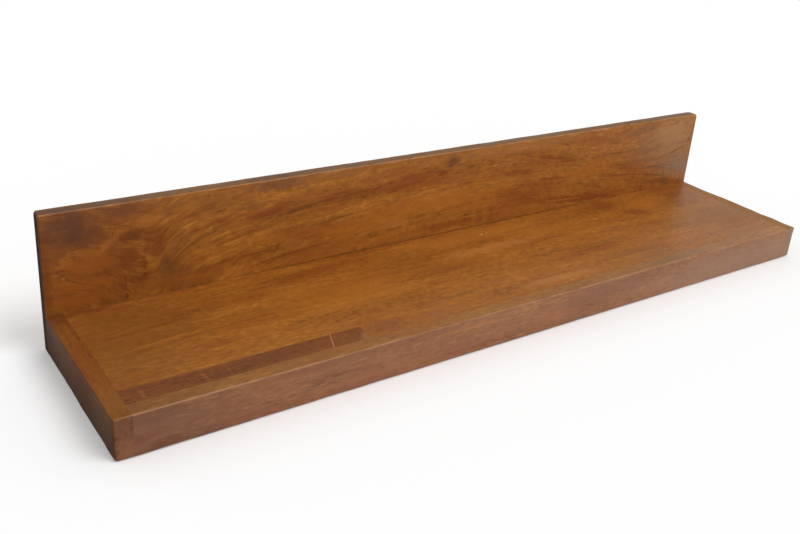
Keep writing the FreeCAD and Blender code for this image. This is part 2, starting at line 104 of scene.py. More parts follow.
BROAD_BANDS = Texture((170, 13, 60), 3, 0.5, 0, reach=1.5)
GROWTH_BANDS = Texture((210, 3.0, 40), 4, 0.6, 1, reach=1.1)
FINE_STREAKS = Texture((15, 0.9, 3), 3, 0.7, 2)
RED_BLUSH = Texture((110, 18, 40), 3, 0.5, 3)
OPEN_PORES = Texture((7, 0.42, 0.42), 2, 0.6, 4)
STAIN_CLOUDS = Texture((75, 34, 40), 3, 0.55, 5, reach=1.3)
RUB_MARKS = Texture((26, 9, 9), 3, 0.6, 6)
GLOSS_CLOUDS = Texture((60, 40, 40), 3, 0.55, 7, reach=0.16)
SWELLS = Texture((70, 26, 26), 2, 0.4, 8)
FLECKS = Texture((7.0, 2.8, 4.0), 3, 0.65, 9, reach=1.8)
LONG_WAVES = Texture((190, 60, 50), 2, 0.5, 10, reach=2.0)
SHORT_WAVES = Texture((36, 13, 12), 2, 0.5, 11, reach=4.0)
RUBBED_AND_HIGHLIT_LENGTHS = Texture((55, 20, 20), 3, 0.6, 12)
SAW_SWAY = Texture((60, 30, 30), 2, 0.5, 13, reach=14.0)
RIM_STREAKS = Texture((16, 3, 7), 4, 0.65, 14)
RIM_CLOUDS = Texture((12, 9, 9), 4, 0.6, 15)
STRAY_BARS = Texture((11, 6, 9), 3, 0.6, 21, reach=4.2)
ZINC_CLOUDS = Texture((5, 5, 5), 4, 0.6, 31)
ZINC_BRUSHING = Texture((0.25, 0.25, 14), 3, 0.7, 32)
ZINC_SCRATCHES = Texture((9, 0.3, 0.5), 2, 0.6, 33)
ZINC_SPOTS = Texture((1.6, 1.6, 1.6), 3, 0.6, 34)


class Signal:
    """A number, vector or colour that varies over a surface: one output of a node."""

    def __init__(self, graph: "Graph", socket: bpy.types.NodeSocket) -> None:
        """Keep the node output and the graph that it belongs to."""
        self.graph = graph
        self.socket = socket

    def __add__(self, other: "Value") -> "Signal":
        """Add a number or another signal."""
        return self.graph.math("ADD", self, other)

    def __sub__(self, other: "Value") -> "Signal":
        """Take away a number or another signal."""
        return self.graph.math("SUBTRACT", self, other)

    def __rsub__(self, other: "Value") -> "Signal":
        """Take this signal away from a number."""
        return self.graph.math("SUBTRACT", other, self)

    def __mul__(self, other: "Value") -> "Signal":
        """Multiply by a number or another signal."""
        return self.graph.math("MULTIPLY", self, other)

    def __truediv__(self, other: "Value") -> "Signal":
        """Divide by a number or another signal."""
        return self.graph.math("DIVIDE", self, other)

    def __abs__(self) -> "Signal":
        """Drop the sign."""
        return self.graph.math("ABSOLUTE", self)

    def rise(self, low: float, high: float) -> "Signal":
        """Go smoothly from 0 at low to 1 at high; low may be the larger one."""
        return self.graph.rise(self, low, high)


Value = Union[Signal, float]


class Graph:
    """Builds a material's or a shape's node tree from sums, noises and mixes."""

    def __init__(self, tree: bpy.types.NodeTree) -> None:
        """Keep the tree that gets the nodes."""
        self.tree = tree

    def node(self, kind: str, **settings: object) -> bpy.types.Node:
        """Add a node.

        Args:
            kind: Blender's name for the kind of node.
            **settings: Properties of the node, set before anything is linked.

        Returns:
            The new node.
        """
        made = self.tree.nodes.new(kind)
        for name, value in settings.items():
            setattr(made, name, value)
        return made

    def feed(self, socket: bpy.types.NodeSocket, value: object) -> None:
        """Link a signal to an input, or set a constant on it.

        Args:
            socket: The input.
            value: A signal, a node output, or a plain value.
        """
        if isinstance(value, Signal):
            self.tree.links.new(value.socket, socket)
        elif isinstance(value, bpy.types.NodeSocket):
            self.tree.links.new(value, socket)
        else:
            socket.default_value = value

    def math(self, operation: str, *terms: Value) -> Signal:
        """Work out a sum of numbers.

        Args:
            operation: Blender's name for the operation.
            *terms: One to three numbers or signals.

        Returns:
            The result.
        """
        made = self.node("ShaderNodeMath", operation=operation)
        for socket, term in zip(made.inputs, terms):
            self.feed(socket, term)
        return Signal(self, made.outputs[0])

    def rise(self, value: Value, low: float, high: float) -> Signal:
        """Go smoothly from 0 at low to 1 at high.

        Args:
            value: The number that is judged.
            low: Where the result is 0.
            high: Where the result is 1; it may be smaller than low.

        Returns:
            A share from 0 to 1.
        """
        made = self.node("ShaderNodeMapRange", interpolation_type="SMOOTHSTEP")
        falling = low > high
        self.feed(made.inputs["Value"], value)
        made.inputs["From Min"].default_value = min(low, high)
        made.inputs["From Max"].default_value = max(low, high)
        made.inputs["To Min"].default_value = 1.0 if falling else 0.0
        made.inputs["To Max"].default_value = 0.0 if falling else 1.0
        return Signal(self, made.outputs["Result"])

    def vector(self, x: Value, y: Value, z: Value) -> Signal:
        """Put three numbers together.

        Args:
            x: The first.
            y: The second.
            z: The third.

        Returns:
            One vector.
        """
        made = self.node("ShaderNodeCombineXYZ")
        for socket, part in zip(made.inputs, (x, y, z)):
            self.feed(socket, part)
        return Signal(self, made.outputs[0])

    def parts(self, vector: object) -> list[Signal]:
        """Take a vector apart.

        Args:
            vector: A signal or a node output.

        Returns:
            Its three numbers.
        """
        made = self.node("ShaderNodeSeparateXYZ")
        self.feed(made.inputs[0], vector)
        return [Signal(self, output) for output in made.outputs]

    def noise(self, place: Signal, texture: Texture, seed: float = 0.0) -> Signal:
        """Lay one layer of irregular grain.

        Args:
            place: Where on the board, in millimetres.
            texture: The grain.
            seed: A number that picks a board's own pattern.

        Returns:
            A number about 0.5, from 0 to 1.
        """
        picked = seed + texture.seed
        scaled = self.node("ShaderNodeVectorMath", operation="MULTIPLY_ADD")
        self.feed(scaled.inputs[0], place)
        scaled.inputs[1].default_value = [1 / size for size in texture.sizes]
        scaled.inputs[2].default_value = [picked * step for step in SEED_STEPS]
        made = self.node("ShaderNodeTexNoise")
        self.feed(made.inputs["Vector"], scaled.outputs[0])
        made.inputs["Scale"].default_value = 1.0
        made.inputs["Detail"].default_value = texture.detail
        made.inputs["Roughness"].default_value = texture.rough
        return Signal(self, made.outputs[0])

    def swing(self, place: Signal, texture: Texture, seed: float, share: float = 1.0) -> Signal:
        """Lay the same grain about 0 instead of 0.5.

        Args:
            place: Where on the board, in millimetres.
            texture: The grain.
            seed: A number that picks a board's own pattern.
            share: How much of the texture's reach is used.

        Returns:
            A number about 0, up to half the reach either way.
        """
        return (self.noise(place, texture, seed) - EVEN) * (texture.reach * share)

    def curve(self, value: Value, points: Sequence[tuple[float, float]]) -> Signal:
        """Read a number off a smooth curve.

        Args:
            value: The number to look up.
            points: The curve's points, with their first numbers rising.

        Returns:
            The curve's height there.
        """
        first, last = points[0][0], points[-1][0]
        low = min(height for _, height in points)
        high = max(height for _, height in points)
        share = (self.math("SUBTRACT", value, first)) / (last - first)
        made = self.node("ShaderNodeFloatCurve")
        line = made.mapping.curves[0]
        scaled = [((at - first) / (last - first), (height - low) / (high - low))
                  for at, height in points]
        line.points[0].location = scaled[0]
        line.points[1].location = scaled[-1]
        for at in scaled[1:-1]:
            line.points.new(*at)
        made.mapping.update()
        self.feed(made.inputs["Value"], share)
        return Signal(self, made.outputs[0]) * (high - low) + low

    def scale(self, tone: Signal, gain: Point) -> Signal:
        """Make a colour's red, green and blue stronger or weaker.

        Args:
            tone: The colour.
            gain: What each of the three is multiplied by.

        Returns:
            The changed colour.
        """
        made = self.node("ShaderNodeVectorMath", operation="MULTIPLY")
        self.feed(made.inputs[0], tone)
        made.inputs[1].default_value = gain
        return Signal(self, made.outputs[0])

    def mix(self, share: Value, first: object, second: object) -> Signal:
        """Mix two colours.

        Args:
            share: How much of the second colour.
            first: The colour underneath.
            second: The colour on top.

        Returns:
            The mixed colour.
        """
        made = self.node("ShaderNodeMix", data_type="RGBA")
        sockets = [s for s in made.inputs if s.type == "RGBA"]
        self.feed(made.inputs[0], share)
        self.feed(sockets[0], first)
        self.feed(sockets[1], second)
        return Signal(self, next(s for s in made.outputs if s.type == "RGBA"))


class Axis(Enum):
    """One of the shelf's own directions."""

    LENGTH = 0
    DEPTH = 1
    HEIGHT = 2


@dataclass(frozen=True)
class Measure:
    """How one of a board's own measures is read from the place in the shelf."""

    axis: Axis
    sign: int
    start: float

    def read(self, graph: Graph, place: Sequence[Signal]) -> Signal:
        """Millimetres from the start, counted along the axis.

        Args:
            graph: Where the sum is added.
            place: The place in the shelf, in millimetres.

        Returns:
            The measure.
        """
        return graph.math("MULTIPLY_ADD", place[self.axis.value], float(self.sign),
                          -self.sign * self.start)


@dataclass(frozen=True)
class Lay:
    """Which way a board's grain, width and thickness lie in the shelf."""

    along: Measure
    across: Measure
    into: Measure

    def read(self, graph: Graph, place: Sequence[Signal]) -> list[Signal]:
        """Read where a point lies in the board.

        Args:
            graph: Where the sums are added.
            place: The place in the shelf, in millimetres.

        Returns:
            Millimetres along, across and into the board.
        """
        return [measure.read(graph, place) for measure in (self.along, self.across, self.into)]


@dataclass(frozen=True)
class Patch:
    """A patch or a streak on a board, an ellipse whose middle line may slope and bend: mostly the
    wood's own marks, with some painted shade, highlights and reflections.

    Attributes:
        along: Its middle along the board, in millimetres.
        across: Its middle across the board.
        length: Half its length.
        width: Half its width.
        tint: Its colour.
        strength: How much it covers.
        slope: How far its middle line goes across for each step along.
        bend: How much that line curves.
        core: The share of it that is even, with no soft rim.
        streaky: How far the grain's streaks pull its rim about.
        cloudy: How far broader clouds do.
    """

    along: float
    across: float
    length: float
    width: float
    tint: Colour
    strength: float = 0.5
    slope: float = 0.0
    bend: float = 0.0
    core: float = 0.3
    streaky: float = 1.4
    cloudy: float = 0.7


@dataclass(frozen=True)
class Ripple:
    """A place where short bars of light cross the grain."""

    along: float
    across: float
    length: float
    width: float
    pitch: float
    strength: float


@dataclass(frozen=True)
class Heart:
    """The middle of the tree: where it runs across the board, and how far below its face."""

    line: Sequence[tuple[float, float]]
    sunk: Sequence[tuple[float, float]]


@dataclass(frozen=True)
class Side:
    """A face whose colour is scaled against the show face: some took the stain in another way, some
    carry painted shade, and some a painted reflection.

    Attributes:
        axis: The axis that it faces along.
        sign: 1 or -1 for the way.
        gain: How much stronger its red, green and blue are.
        dull: How much rougher it is.
        fade: Over how many millimetres below the show face the change sets in.
    """

    axis: Axis
    sign: int
    gain: Point
    dull: float = 0.0
    fade: float = 0.0


@dataclass(frozen=True)
class Joint:
    """A glued joint that shows as a fine dark line, where one coordinate has one value."""

    axis: Axis
    at: float
    share: float = 0.5
    width: float = 0.7


@dataclass(frozen=True)
class Figure:
    """What a board's grain does, with painted shade, highlights and reflections on some boards;
    patches and ripples end at the skin's depth, if it has one.
    """

    seed: float
    lean: float = 0.35
    waver: float = 7.0
    streak: float = 1.0
    cloud: float = 1.0
    heart: Optional[Heart] = None
    patches: Sequence[Patch] = ()
    ripples: Sequence[Ripple] = ()
    sides: Sequence[Side] = ()
    joints: Sequence[Joint] = ()
    skin: float = 0.0


@dataclass(frozen=True)
class Arrises:
    """The outer edges that hands and cloths have worn, which also carry a painted highlight: a box,
    with far faces where none is.
    """

    low: Point
    high: Point
    foot: Optional[float] = None

    def distance(self, graph: Graph, place: Sequence[Signal]) -> Signal:
        """Millimetres to the nearest edge of the box, measured over its faces.

        Args:
            graph: Where the sums are added.
            place: The place in the shelf, in millimetres.

        Returns:
            The middle one of the distances to the nearest faces.
        """
        near = []
        for at, low, high in zip(place, self.low, self.high):
            near.append(graph.math("MINIMUM", at - low, high - at))
        least = graph.math("MINIMUM", near[0], near[1])
        most = graph.math("MAXIMUM", near[0], near[1])
        return graph.math("MAXIMUM", least, graph.math("MINIMUM", most, near[2]))


@dataclass(frozen=True)
class Timber:
    """Solid timber: stained and varnished on the outside of the shelf, bare inside it.

    Attributes:
        light: The stain where the wood drank least of it.
        middle: The stain's usual colour.
        deep: The stain where the wood drank most of it, and in the pores.
        red: The colour of the red blush.
        worn: The pale colour along the arrises: wood under rubbed stain, with a painted highlight.
        pore: How dark the open pores are.
        red_share: How strong the blush is.
        mottle: How strong the flecks are.
        fine: How strong the finest streaks are.
        fleck: The flecks' size along, across and into the wood.
        wear: How strongly that pale colour covers the arrises, for rubbed stain and painted
            highlight alike.
        roughness: The varnish's roughness.
        specular: How much light the varnish throws back.
        saw_marks: The height of the saw's marks.
    """

    light: Colour
    middle: Colour
    deep: Colour
    red: Colour
    worn: Colour
    pore: float = 0.30
    red_share: float = 0.45
    mottle: float = 1.0
    fine: float = 1.1
    fleck: Point = (7.0, 2.8, 4.0)
    wear: float = 0.45
    roughness: float = 0.40
    specular: float = 0.2
    saw_marks: float = 0.0

    PORE_EDGE: ClassVar[Span] = (0.56, 0.7)
    DEEP_STAIN: ClassVar[Span] = (0.5, 1.15)
    LIGHT_STAIN: ClassVar[Span] = (0.5, -0.15)
    BLUSH_EDGE: ClassVar[Span] = (0.5, 0.72)
    SKIN_EDGE: ClassVar[Span] = (1.3, 0.7)
    END_GRAIN_FACE: ClassVar[Span] = (0.6, 0.9)
    END_GRAIN_DULL: ClassVar[float] = 0.35
    SIDE_FACE: ClassVar[Span] = (0.55, 0.9)
    FADE_WAVER: ClassVar[float] = 6.0
    JOINT_WAVER: ClassVar[float] = 0.5
    JOINT_CORE: ClassVar[float] = 0.1
    ARRIS_WAVER: ClassVar[float] = 2.4
    ARRIS_EDGE: ClassVar[Span] = (1.9, 0.4)
    RUBBED_AND_HIGHLIT_EDGE: ClassVar[Span] = (0.36, 0.62)
    RUBBED_AND_HIGHLIT_MORE: ClassVar[float] = 0.7
    RUBBED_AND_HIGHLIT_LEAST: ClassVar[float] = 0.3
    WORN_DULL: ClassVar[float] = 0.2
    PLAIN_DEPTH: ClassVar[Span] = (2.0, 14.0)
    PLAIN_SHARE: ClassVar[float] = 0.8
    PORE_DULL: ClassVar[float] = 0.12
    RELIEF: ClassVar[float] = 0.5
    SWELL_HEIGHT: ClassVar[float] = 0.25
    STREAK_HEIGHT: ClassVar[float] = 0.05
    PORE_DEPTH: ClassVar[float] = 0.06
    BAND_HEIGHT: ClassVar[float] = 0.05
    SAW_TEETH: ClassVar[float] = 2.6

    def material(self, name: str, lay: Lay, figure: Figure, arrises: Arrises
                 ) -> bpy.types.Material:
        """Make the finish for one board.

        Args:
            name: The material's name.
            lay: Which way the board lies.
            figure: What its grain does.
            arrises: The edges that are worn and carry a painted highlight.

        Returns:
            The material.
        """
        made, graph = new_material(name)
        seed = figure.seed
        place = place_in_shelf(graph)
        measures = lay.read(graph, place)
        flat = graph.vector(*measures)
        grain = self.grain(graph, flat, measures, figure)
        band = graph.noise(grain, GROWTH_BANDS, seed)
        fine = graph.noise(grain, FINE_STREAKS, seed)
        pores = graph.noise(grain, OPEN_PORES, seed).rise(*self.PORE_EDGE)
        tone = self.stain(graph, flat, grain, (band, fine), figure)
        tone = graph.mix(pores * self.pore, tone, linear(self.deep))
        rims = (graph.noise(grain, RIM_STREAKS, seed), graph.noise(flat, RIM_CLOUDS, seed))
        tone = self.marks(graph, tone, flat, measures, rims, figure)
        dull = facing(graph, lay.along.axis).rise(*self.END_GRAIN_FACE) * self.END_GRAIN_DULL
        waver = (rims[1] - EVEN) * self.FADE_WAVER
        # Some faces are scaled for their own stain, some for painted shade, and some for a painted
        # reflection.
        for side in figure.sides:
            share = facing(graph, side.axis, side.sign).rise(*self.SIDE_FACE)
            if side.fade:
                share = share * (measures[2] + waver).rise(0.0, side.fade)
            tone = graph.mix(share, tone, graph.scale(tone, side.gain))
            dull = dull + share * side.dull
        rub = graph.noise(flat, RUB_MARKS, seed) - EVEN
        for joint in figure.joints:
            off = abs(place[joint.axis.value] - joint.at) + rub * self.JOINT_WAVER
            line = off.rise(joint.width, self.JOINT_CORE) * joint.share
            tone = graph.mix(line, tone, linear(UMBER))
        # The pale line along the arrises is partly rubbed stain and partly a painted highlight of
        # their rounded edges.
        edge = arrises.distance(graph, place) + rub * self.ARRIS_WAVER
        rubbed_and_highlit = graph.noise(flat, RUBBED_AND_HIGHLIT_LENGTHS, seed).rise(*self.RUBBED_AND_HIGHLIT_EDGE)
        rubbed_and_highlit = rubbed_and_highlit * self.RUBBED_AND_HIGHLIT_MORE + self.RUBBED_AND_HIGHLIT_LEAST
        worn = edge.rise(*self.ARRIS_EDGE) * rubbed_and_highlit * self.wear
        tone = graph.mix(worn, tone, linear(self.worn))
        self.varnish(graph, flat, tone, (band, fine, pores), dull + worn * self.WORN_DULL, seed)
        return made

    def grain(self, graph: Graph, flat: Signal, measures: Sequence[Signal], figure: Figure
              ) -> Signal:
        """Where a point lies in the tree: along the trunk, out from its middle, and into the board.

        Args:
            graph: Where the nodes are added.
            flat: The place in the board as one vector.
            measures: The place along, across and into the board.
            figure: What the board's grain does.

        Returns:
            The place in the tree, as one vector.
        """
        along, across, into = measures
        ring = across + into * figure.lean
        ring = ring + graph.swing(flat, LONG_WAVES, figure.seed, figure.waver)
        ring = ring + graph.swing(flat, SHORT_WAVES, figure.seed)
        if figure.heart:
            off = ring - graph.curve(along, figure.heart.line)
            sunk = graph.curve(along, figure.heart.sunk) + into
            bent = graph.math("SQRT", off * off + sunk * sunk)
            ring = bent + (ring - bent) * (into.rise(*self.PLAIN_DEPTH) * self.PLAIN_SHARE)
        return graph.vector(along, ring, into)

    def stain(self, graph: Graph, flat: Signal, grain: Signal, layers: tuple[Signal, Signal],
              figure: Figure) -> Signal:
        """The stain's own colour, deeper where the wood drank more of it.

        Args:
            graph: Where the nodes are added.
            flat: The place in the board.
            grain: The place in the tree.
            layers: The growth bands and the finest streaks.
            figure: What the board's grain does.

        Returns:
            The colour.
        """
        band, fine = layers
        seed = figure.seed
        flecks = replace(FLECKS, sizes=self.fleck)
        depth = graph.swing(grain, BROAD_BANDS, seed, figure.streak)
        depth = depth + (band - EVEN) * (GROWTH_BANDS.reach * figure.streak)
        depth = depth + graph.swing(flat, STAIN_CLOUDS, seed, figure.cloud)
        depth = depth + graph.swing(grain, flecks, seed, self.mottle)
        depth = depth + (fine - EVEN) * self.fine + EVEN
        tone = graph.mix(depth.rise(*self.DEEP_STAIN), linear(self.middle), linear(self.deep))
        tone = graph.mix(depth.rise(*self.LIGHT_STAIN), tone, linear(self.light))
        blush = graph.noise(grain, RED_BLUSH, seed).rise(*self.BLUSH_EDGE)
        return graph.mix(blush * self.red_share, tone, linear(self.red))

    def marks(self, graph: Graph, tone: Signal, flat: Signal, measures: Sequence[Signal],
              rims: tuple[Signal, Signal], figure: Figure) -> Signal:
        """Lay a board's patches and ripples over its colour.

        Args:
            graph: Where the nodes are added.
            tone: The plain colour.
            flat: The place in the board as one vector.
            measures: The place along, across and into the board.
            rims: The streaks and the clouds that make the patches' rims uneven.
            figure: What the board's grain does.

        Returns:
            The colour with its marks, and below the skin the plain colour.
        """
        along, _, into = measures
        marked = tone
        for patch in figure.patches:
            marked = lay_patch(graph, marked, flat, rims, patch)
        for ripple in figure.ripples:
            marked = ripple_tone(graph, flat, along, marked, ripple)
        if not figure.skin:
            return marked
        near, far = self.SKIN_EDGE
        return graph.mix(into.rise(near * figure.skin, far * figure.skin), tone, marked)

    def varnish(self, graph: Graph, flat: Signal, tone: Signal,
                relief: tuple[Signal, Signal, Signal], dull: Signal, seed: float) -> None:
        """Put the colour under a satin varnish that shows the open pores.

        Args:
            graph: Where the nodes are added.
            flat: The place in the board.
            tone: The wood's colour.
            relief: The growth bands, the finest streaks and the pores.
            dull: How much rougher than the show face it is.
            seed: Picks the pattern of the gloss.
        """
        band, fine, pores = relief
        gloss = pores * self.PORE_DULL + graph.swing(flat, GLOSS_CLOUDS, seed) + dull
        swell = graph.noise(flat, SWELLS, seed) * self.SWELL_HEIGHT
        height = swell + fine * self.STREAK_HEIGHT - pores * self.PORE_DEPTH
        height = height + band * self.BAND_HEIGHT
        if self.saw_marks:
            sway = graph.noise(flat, SAW_SWAY, seed) * SAW_SWAY.reach
            teeth = graph.parts(flat)[0] * self.SAW_TEETH + sway
            height = height + graph.math("SINE", teeth) * self.saw_marks
        shader = coat(graph, tone, gloss + self.roughness, height, self.RELIEF)
        shader.inputs["Specular IOR Level"].default_value = self.specular


@dataclass(frozen=True)
class PlatedSteel:
    """Steel under a thin coat of zinc."""

    bright: Colour
    cloudy: Colour
    dark: Colour
    roughness: float = 0.34

    CLOUD_EDGE: ClassVar[Span] = (0.38, 0.64)
    BRUSH_EDGE: ClassVar[Span] = (0.4, 0.7)
    BRUSH_SHARE: ClassVar[float] = 0.3
    SCRATCH_EDGE: ClassVar[Span] = (0.62, 0.68)
    SPOT_EDGE: ClassVar[Span] = (0.62, 0.75)
    SPOT_SHARE: ClassVar[float] = 0.6
    CLOUD_DULL: ClassVar[float] = 0.3
    SCRATCH_DULL: ClassVar[float] = 0.12
    SPOT_DULL: ClassVar[float] = 0.25
    RELIEF: ClassVar[float] = 0.4
    COAT_HEIGHT: ClassVar[float] = 0.02
    SCRATCH_DEPTH: ClassVar[float] = 0.015

    def material(self, name: str) -> bpy.types.Material:
        """Make the finish: clouds in the zinc, brushing under it, and scratches through it.

        Args:
            name: The material's name.

        Returns:
            The material.
        """
        made, graph = new_material(name)
        flat = graph.vector(*place_in_shelf(graph))
        cloud = graph.noise(flat, ZINC_CLOUDS)
        brush = graph.noise(flat, ZINC_BRUSHING)
        scratch = graph.noise(flat, ZINC_SCRATCHES).rise(*self.SCRATCH_EDGE)
        spot = graph.noise(flat, ZINC_SPOTS).rise(*self.SPOT_EDGE)
        tone = graph.mix(cloud.rise(*self.CLOUD_EDGE), linear(self.bright), linear(self.cloudy))
        tone = graph.mix(brush.rise(*self.BRUSH_EDGE) * self.BRUSH_SHARE, tone, linear(self.cloudy))
        tone = graph.mix(spot * self.SPOT_SHARE, tone, linear(self.dark))
        rough = (cloud - EVEN) * self.CLOUD_DULL + scratch * self.SCRATCH_DULL
        rough = rough + spot * self.SPOT_DULL + self.roughness
        height = brush * self.COAT_HEIGHT + cloud * self.COAT_HEIGHT
        height = height - scratch * self.SCRATCH_DEPTH
        shader = coat(graph, tone, rough, height, self.RELIEF)
        shader.inputs["Metallic"].default_value = 1.0
        return made


def coat(graph: Graph, tone: Signal, rough: Signal, height: Signal, relief: float
         ) -> bpy.types.Node:
    """End a material with a shader that has a colour, a roughness and a fine relief.

    Args:
        graph: Where the nodes are added.
        tone: The colour.
        rough: The roughness.
        height: The relief's height in millimetres.
        relief: How strongly the relief shows.

    Returns:
        The shader, for the values that are the same all over.
    """
    shader = graph.node("ShaderNodeBsdfPrincipled")
    graph.feed(shader.inputs["Base Color"], tone)
    graph.feed(shader.inputs["Roughness"], rough)
    bump = graph.node("ShaderNodeBump")
    bump.inputs["Strength"].default_value = relief
    bump.inputs["Distance"].default_value = MM
    graph.feed(bump.inputs["Height"], height)
    graph.feed(shader.inputs["Normal"], bump.outputs[0])
    out = graph.node("ShaderNodeOutputMaterial")
    graph.feed(out.inputs["Surface"], shader.outputs[0])
    return shader


def new_material(name: str) -> tuple[bpy.types.Material, Graph]:
    """Start a material with no nodes.

    Args:
        name: The material's name.

    Returns:
        The material, and the graph that adds its nodes.
    """
    made = bpy.data.materials.new(name)
    made.use_nodes = True
    made.node_tree.nodes.clear()
    return made, Graph(made.node_tree)


def place_in_shelf(graph: Graph) -> list[Signal]:
    """The shaded point's place in the shelf.

    Args:
        graph: Where the nodes are added.

    Returns:
        Its x, y and z in millimetres.
    """
    source = graph.node("ShaderNodeTexCoord")
    scaled = graph.node("ShaderNodeVectorMath", operation="SCALE")
    graph.feed(scaled.inputs[0], source.outputs["Object"])
    scaled.inputs["Scale"].default_value = PER_METRE
    return graph.parts(scaled.outputs[0])


def facing(graph: Graph, axis: Axis, sign: int = 0) -> Signal:
    """How squarely the surface faces along an axis.

    Args:
        graph: Where the nodes are added.
        axis: The axis.
        sign: 1 or -1 for one way along it, 0 for both.

    Returns:
        A share, 1 where it faces straight along the axis.
    """
    source = graph.node("ShaderNodeNewGeometry")
    turned = graph.parts(source.outputs["Normal"])[axis.value]
    return turned * float(sign) if sign else abs(turned)


def new_group(name: str, inputs: Sequence[tuple[str, str]], output: tuple[str, str]
              ) -> tuple[Graph, dict[str, Signal]]:
    """Start a node group.

    Args:
        name: The group's name.
        inputs: Each input's name and kind.
        output: The output's name and kind.

    Returns:
        The graph inside the group, and its inputs by name.
    """
    tree = bpy.data.node_groups.new(name, "ShaderNodeTree")
    for label, kind in inputs:
        tree.interface.new_socket(label, in_out="INPUT", socket_type="NodeSocket" + kind)
    tree.interface.new_socket(output[0], in_out="OUTPUT", socket_type="NodeSocket" + output[1])
    graph = Graph(tree)
    given = graph.node("NodeGroupInput")
    return graph, {label: Signal(graph, given.outputs[label]) for label, _ in inputs}


def ellipse(graph: Graph, place: Signal, size: dict[str, Value]) -> Signal:
    """Distance from an ellipse in the wood, whose middle line may slope and bend.

    Args:
        graph: Where the nodes are added.
        place: The place in the board.
        size: Along and Across of its middle, half its Length and Width, its Slope and Bend.

    Returns:
        0 in the middle and 1 on the rim.
    """
    along, across, _ = graph.parts(place)
    off_along = along - size["Along"]
    middle = off_along * (off_along * size["Bend"] + size["Slope"]) + size["Across"]
    off_across = across - middle
    far_along = off_along / size["Length"]
    far_across = off_across / size["Width"]
    return graph.math("SQRT", far_along * far_along + far_across * far_across)


PATCH_NUMBERS = ("Along", "Across", "Length", "Width", "Slope", "Bend", "Core", "Strength",
                 "Streaky", "Cloudy")


def patch_group() -> bpy.types.NodeTree:
    """The node group that lays one patch over a colour, with a rim that follows the grain.

    Returns:
        The group.
    """
    name = "patch in the wood"
    if name in bpy.data.node_groups:
        return bpy.data.node_groups[name]
    inputs = [("Tone", "Color"), ("Flat", "Vector"), ("Tint", "Color")]
    inputs += [(label, "Float") for label in ("Streaks", "Clouds") + PATCH_NUMBERS]
    graph, given = new_group(name, inputs, ("Tone", "Color"))
    ragged = (given["Streaks"] - EVEN) * given["Streaky"]
    ragged = ragged + (given["Clouds"] - EVEN) * given["Cloudy"]
    far = ellipse(graph, given["Flat"], given) + ragged
    inside = graph.math("SUBTRACT", 1.0, far) / (1.0 - given["Core"])
    share = graph.rise(inside, 0.0, 1.0) * given["Strength"]
    out = graph.node("NodeGroupOutput")
    graph.feed(out.inputs[0], graph.mix(share, given["Tone"], given["Tint"]))
    return graph.tree


def lay_patch(graph: Graph, tone: Signal, flat: Signal, rims: tuple[Signal, Signal],
              patch: Patch) -> Signal:
    """Lay one patch over a colour.

    Args:
        graph: Where the node is added.
        tone: The colour so far.
        flat: The place in the board.
        rims: The streaks and the clouds that make the patch's rim uneven.
        patch: The patch.

    Returns:
        The colour with the patch.
    """
    made = graph.node("ShaderNodeGroup", node_tree=patch_group())
    values = {"Tone": tone, "Flat": flat, "Tint": linear(patch.tint), "Streaks": rims[0],
              "Clouds": rims[1]}
    values.update({label: getattr(patch, label.lower()) for label in PATCH_NUMBERS})
    for label, value in values.items():
        graph.feed(made.inputs[label], value)
    return Signal(graph, made.outputs[0])


def ripple_tone(graph: Graph, flat: Signal, along: Signal, tone: Signal,
                ripple: Ripple) -> Signal:
    """Lay short bars of light across the grain.

    Args:
        graph: Where the nodes are added.
        flat: The place in the board.
        along: The place along the grain.
        tone: The colour so far.
        ripple: Where the bars are, and how strong.

    Returns:
        The colour with the bars.
    """
    stray = graph.noise(flat, STRAY_BARS) * STRAY_BARS.reach
    turn = (along / ripple.pitch + stray) * math.tau
    wave = graph.math("SINE", turn) * EVEN + EVEN
    size = {"Along": ripple.along, "Across": ripple.across, "Length": ripple.length,
            "Width": ripple.width, "Slope": 0.0, "Bend": 0.0}
    here = ellipse(graph, flat, size).rise(1.0, 0.0)
    return graph.mix(here * wave * ripple.strength, tone, linear(UMBER))


AMBER = (190, 116, 44)
HONEY = (172, 102, 32)
RUST = (118, 52, 18)
WINE = (100, 42, 16)
MOSS = (98, 62, 24)
UMBER = (72, 38, 14)
PEAT = (128, 76, 34)
BRICK = (124, 60, 24)
COCOA = (104, 62, 24)
# The pale of painted glints.
PAINTED_GLINT = (236, 196, 140)
BARK = (116, 74, 38)

STAIN = Timber(
    light=(182, 117, 43), middle=(154, 93, 31), deep=(116, 66, 22), red=(138, 66, 25),
    worn=(190, 142, 96), mottle=0.95, fine=1.9, fleck=(8.0, 4.6, 5.0), pore=0.18,
    specular=0.145)
BACK_STAIN = replace(
    STAIN, light=(190, 124, 48), middle=(158, 97, 35), deep=(116, 66, 23), red=(140, 69, 27),
    fleck=(9.0, 4.0, 5.0), specular=0.2)
FRONT_STAIN = Timber(
    light=(174, 120, 77), middle=(145, 95, 61), deep=(106, 67, 44), red=(136, 78, 52),
    worn=(184, 140, 104), specular=0.25, mottle=0.7, fine=1.9, fleck=(8.0, 3.0, 4.0),
    pore=0.18)
END_STAIN = Timber(
    light=(146, 90, 34), middle=(124, 71, 27), deep=(90, 48, 19), red=(118, 55, 24),
    worn=(176, 132, 96), pore=0.16, specular=0.1, roughness=0.48, wear=0.4)
RIGHT_END_STAIN = replace(
    END_STAIN, light=(164, 116, 50), middle=(140, 94, 38), deep=(112, 72, 28), red=(136, 84, 34),
    fine=1.6)
STRIP_STAIN = Timber(
    light=(140, 82, 30), middle=(118, 64, 19), deep=(88, 44, 14), red=(116, 54, 16),
    worn=(150, 100, 60))
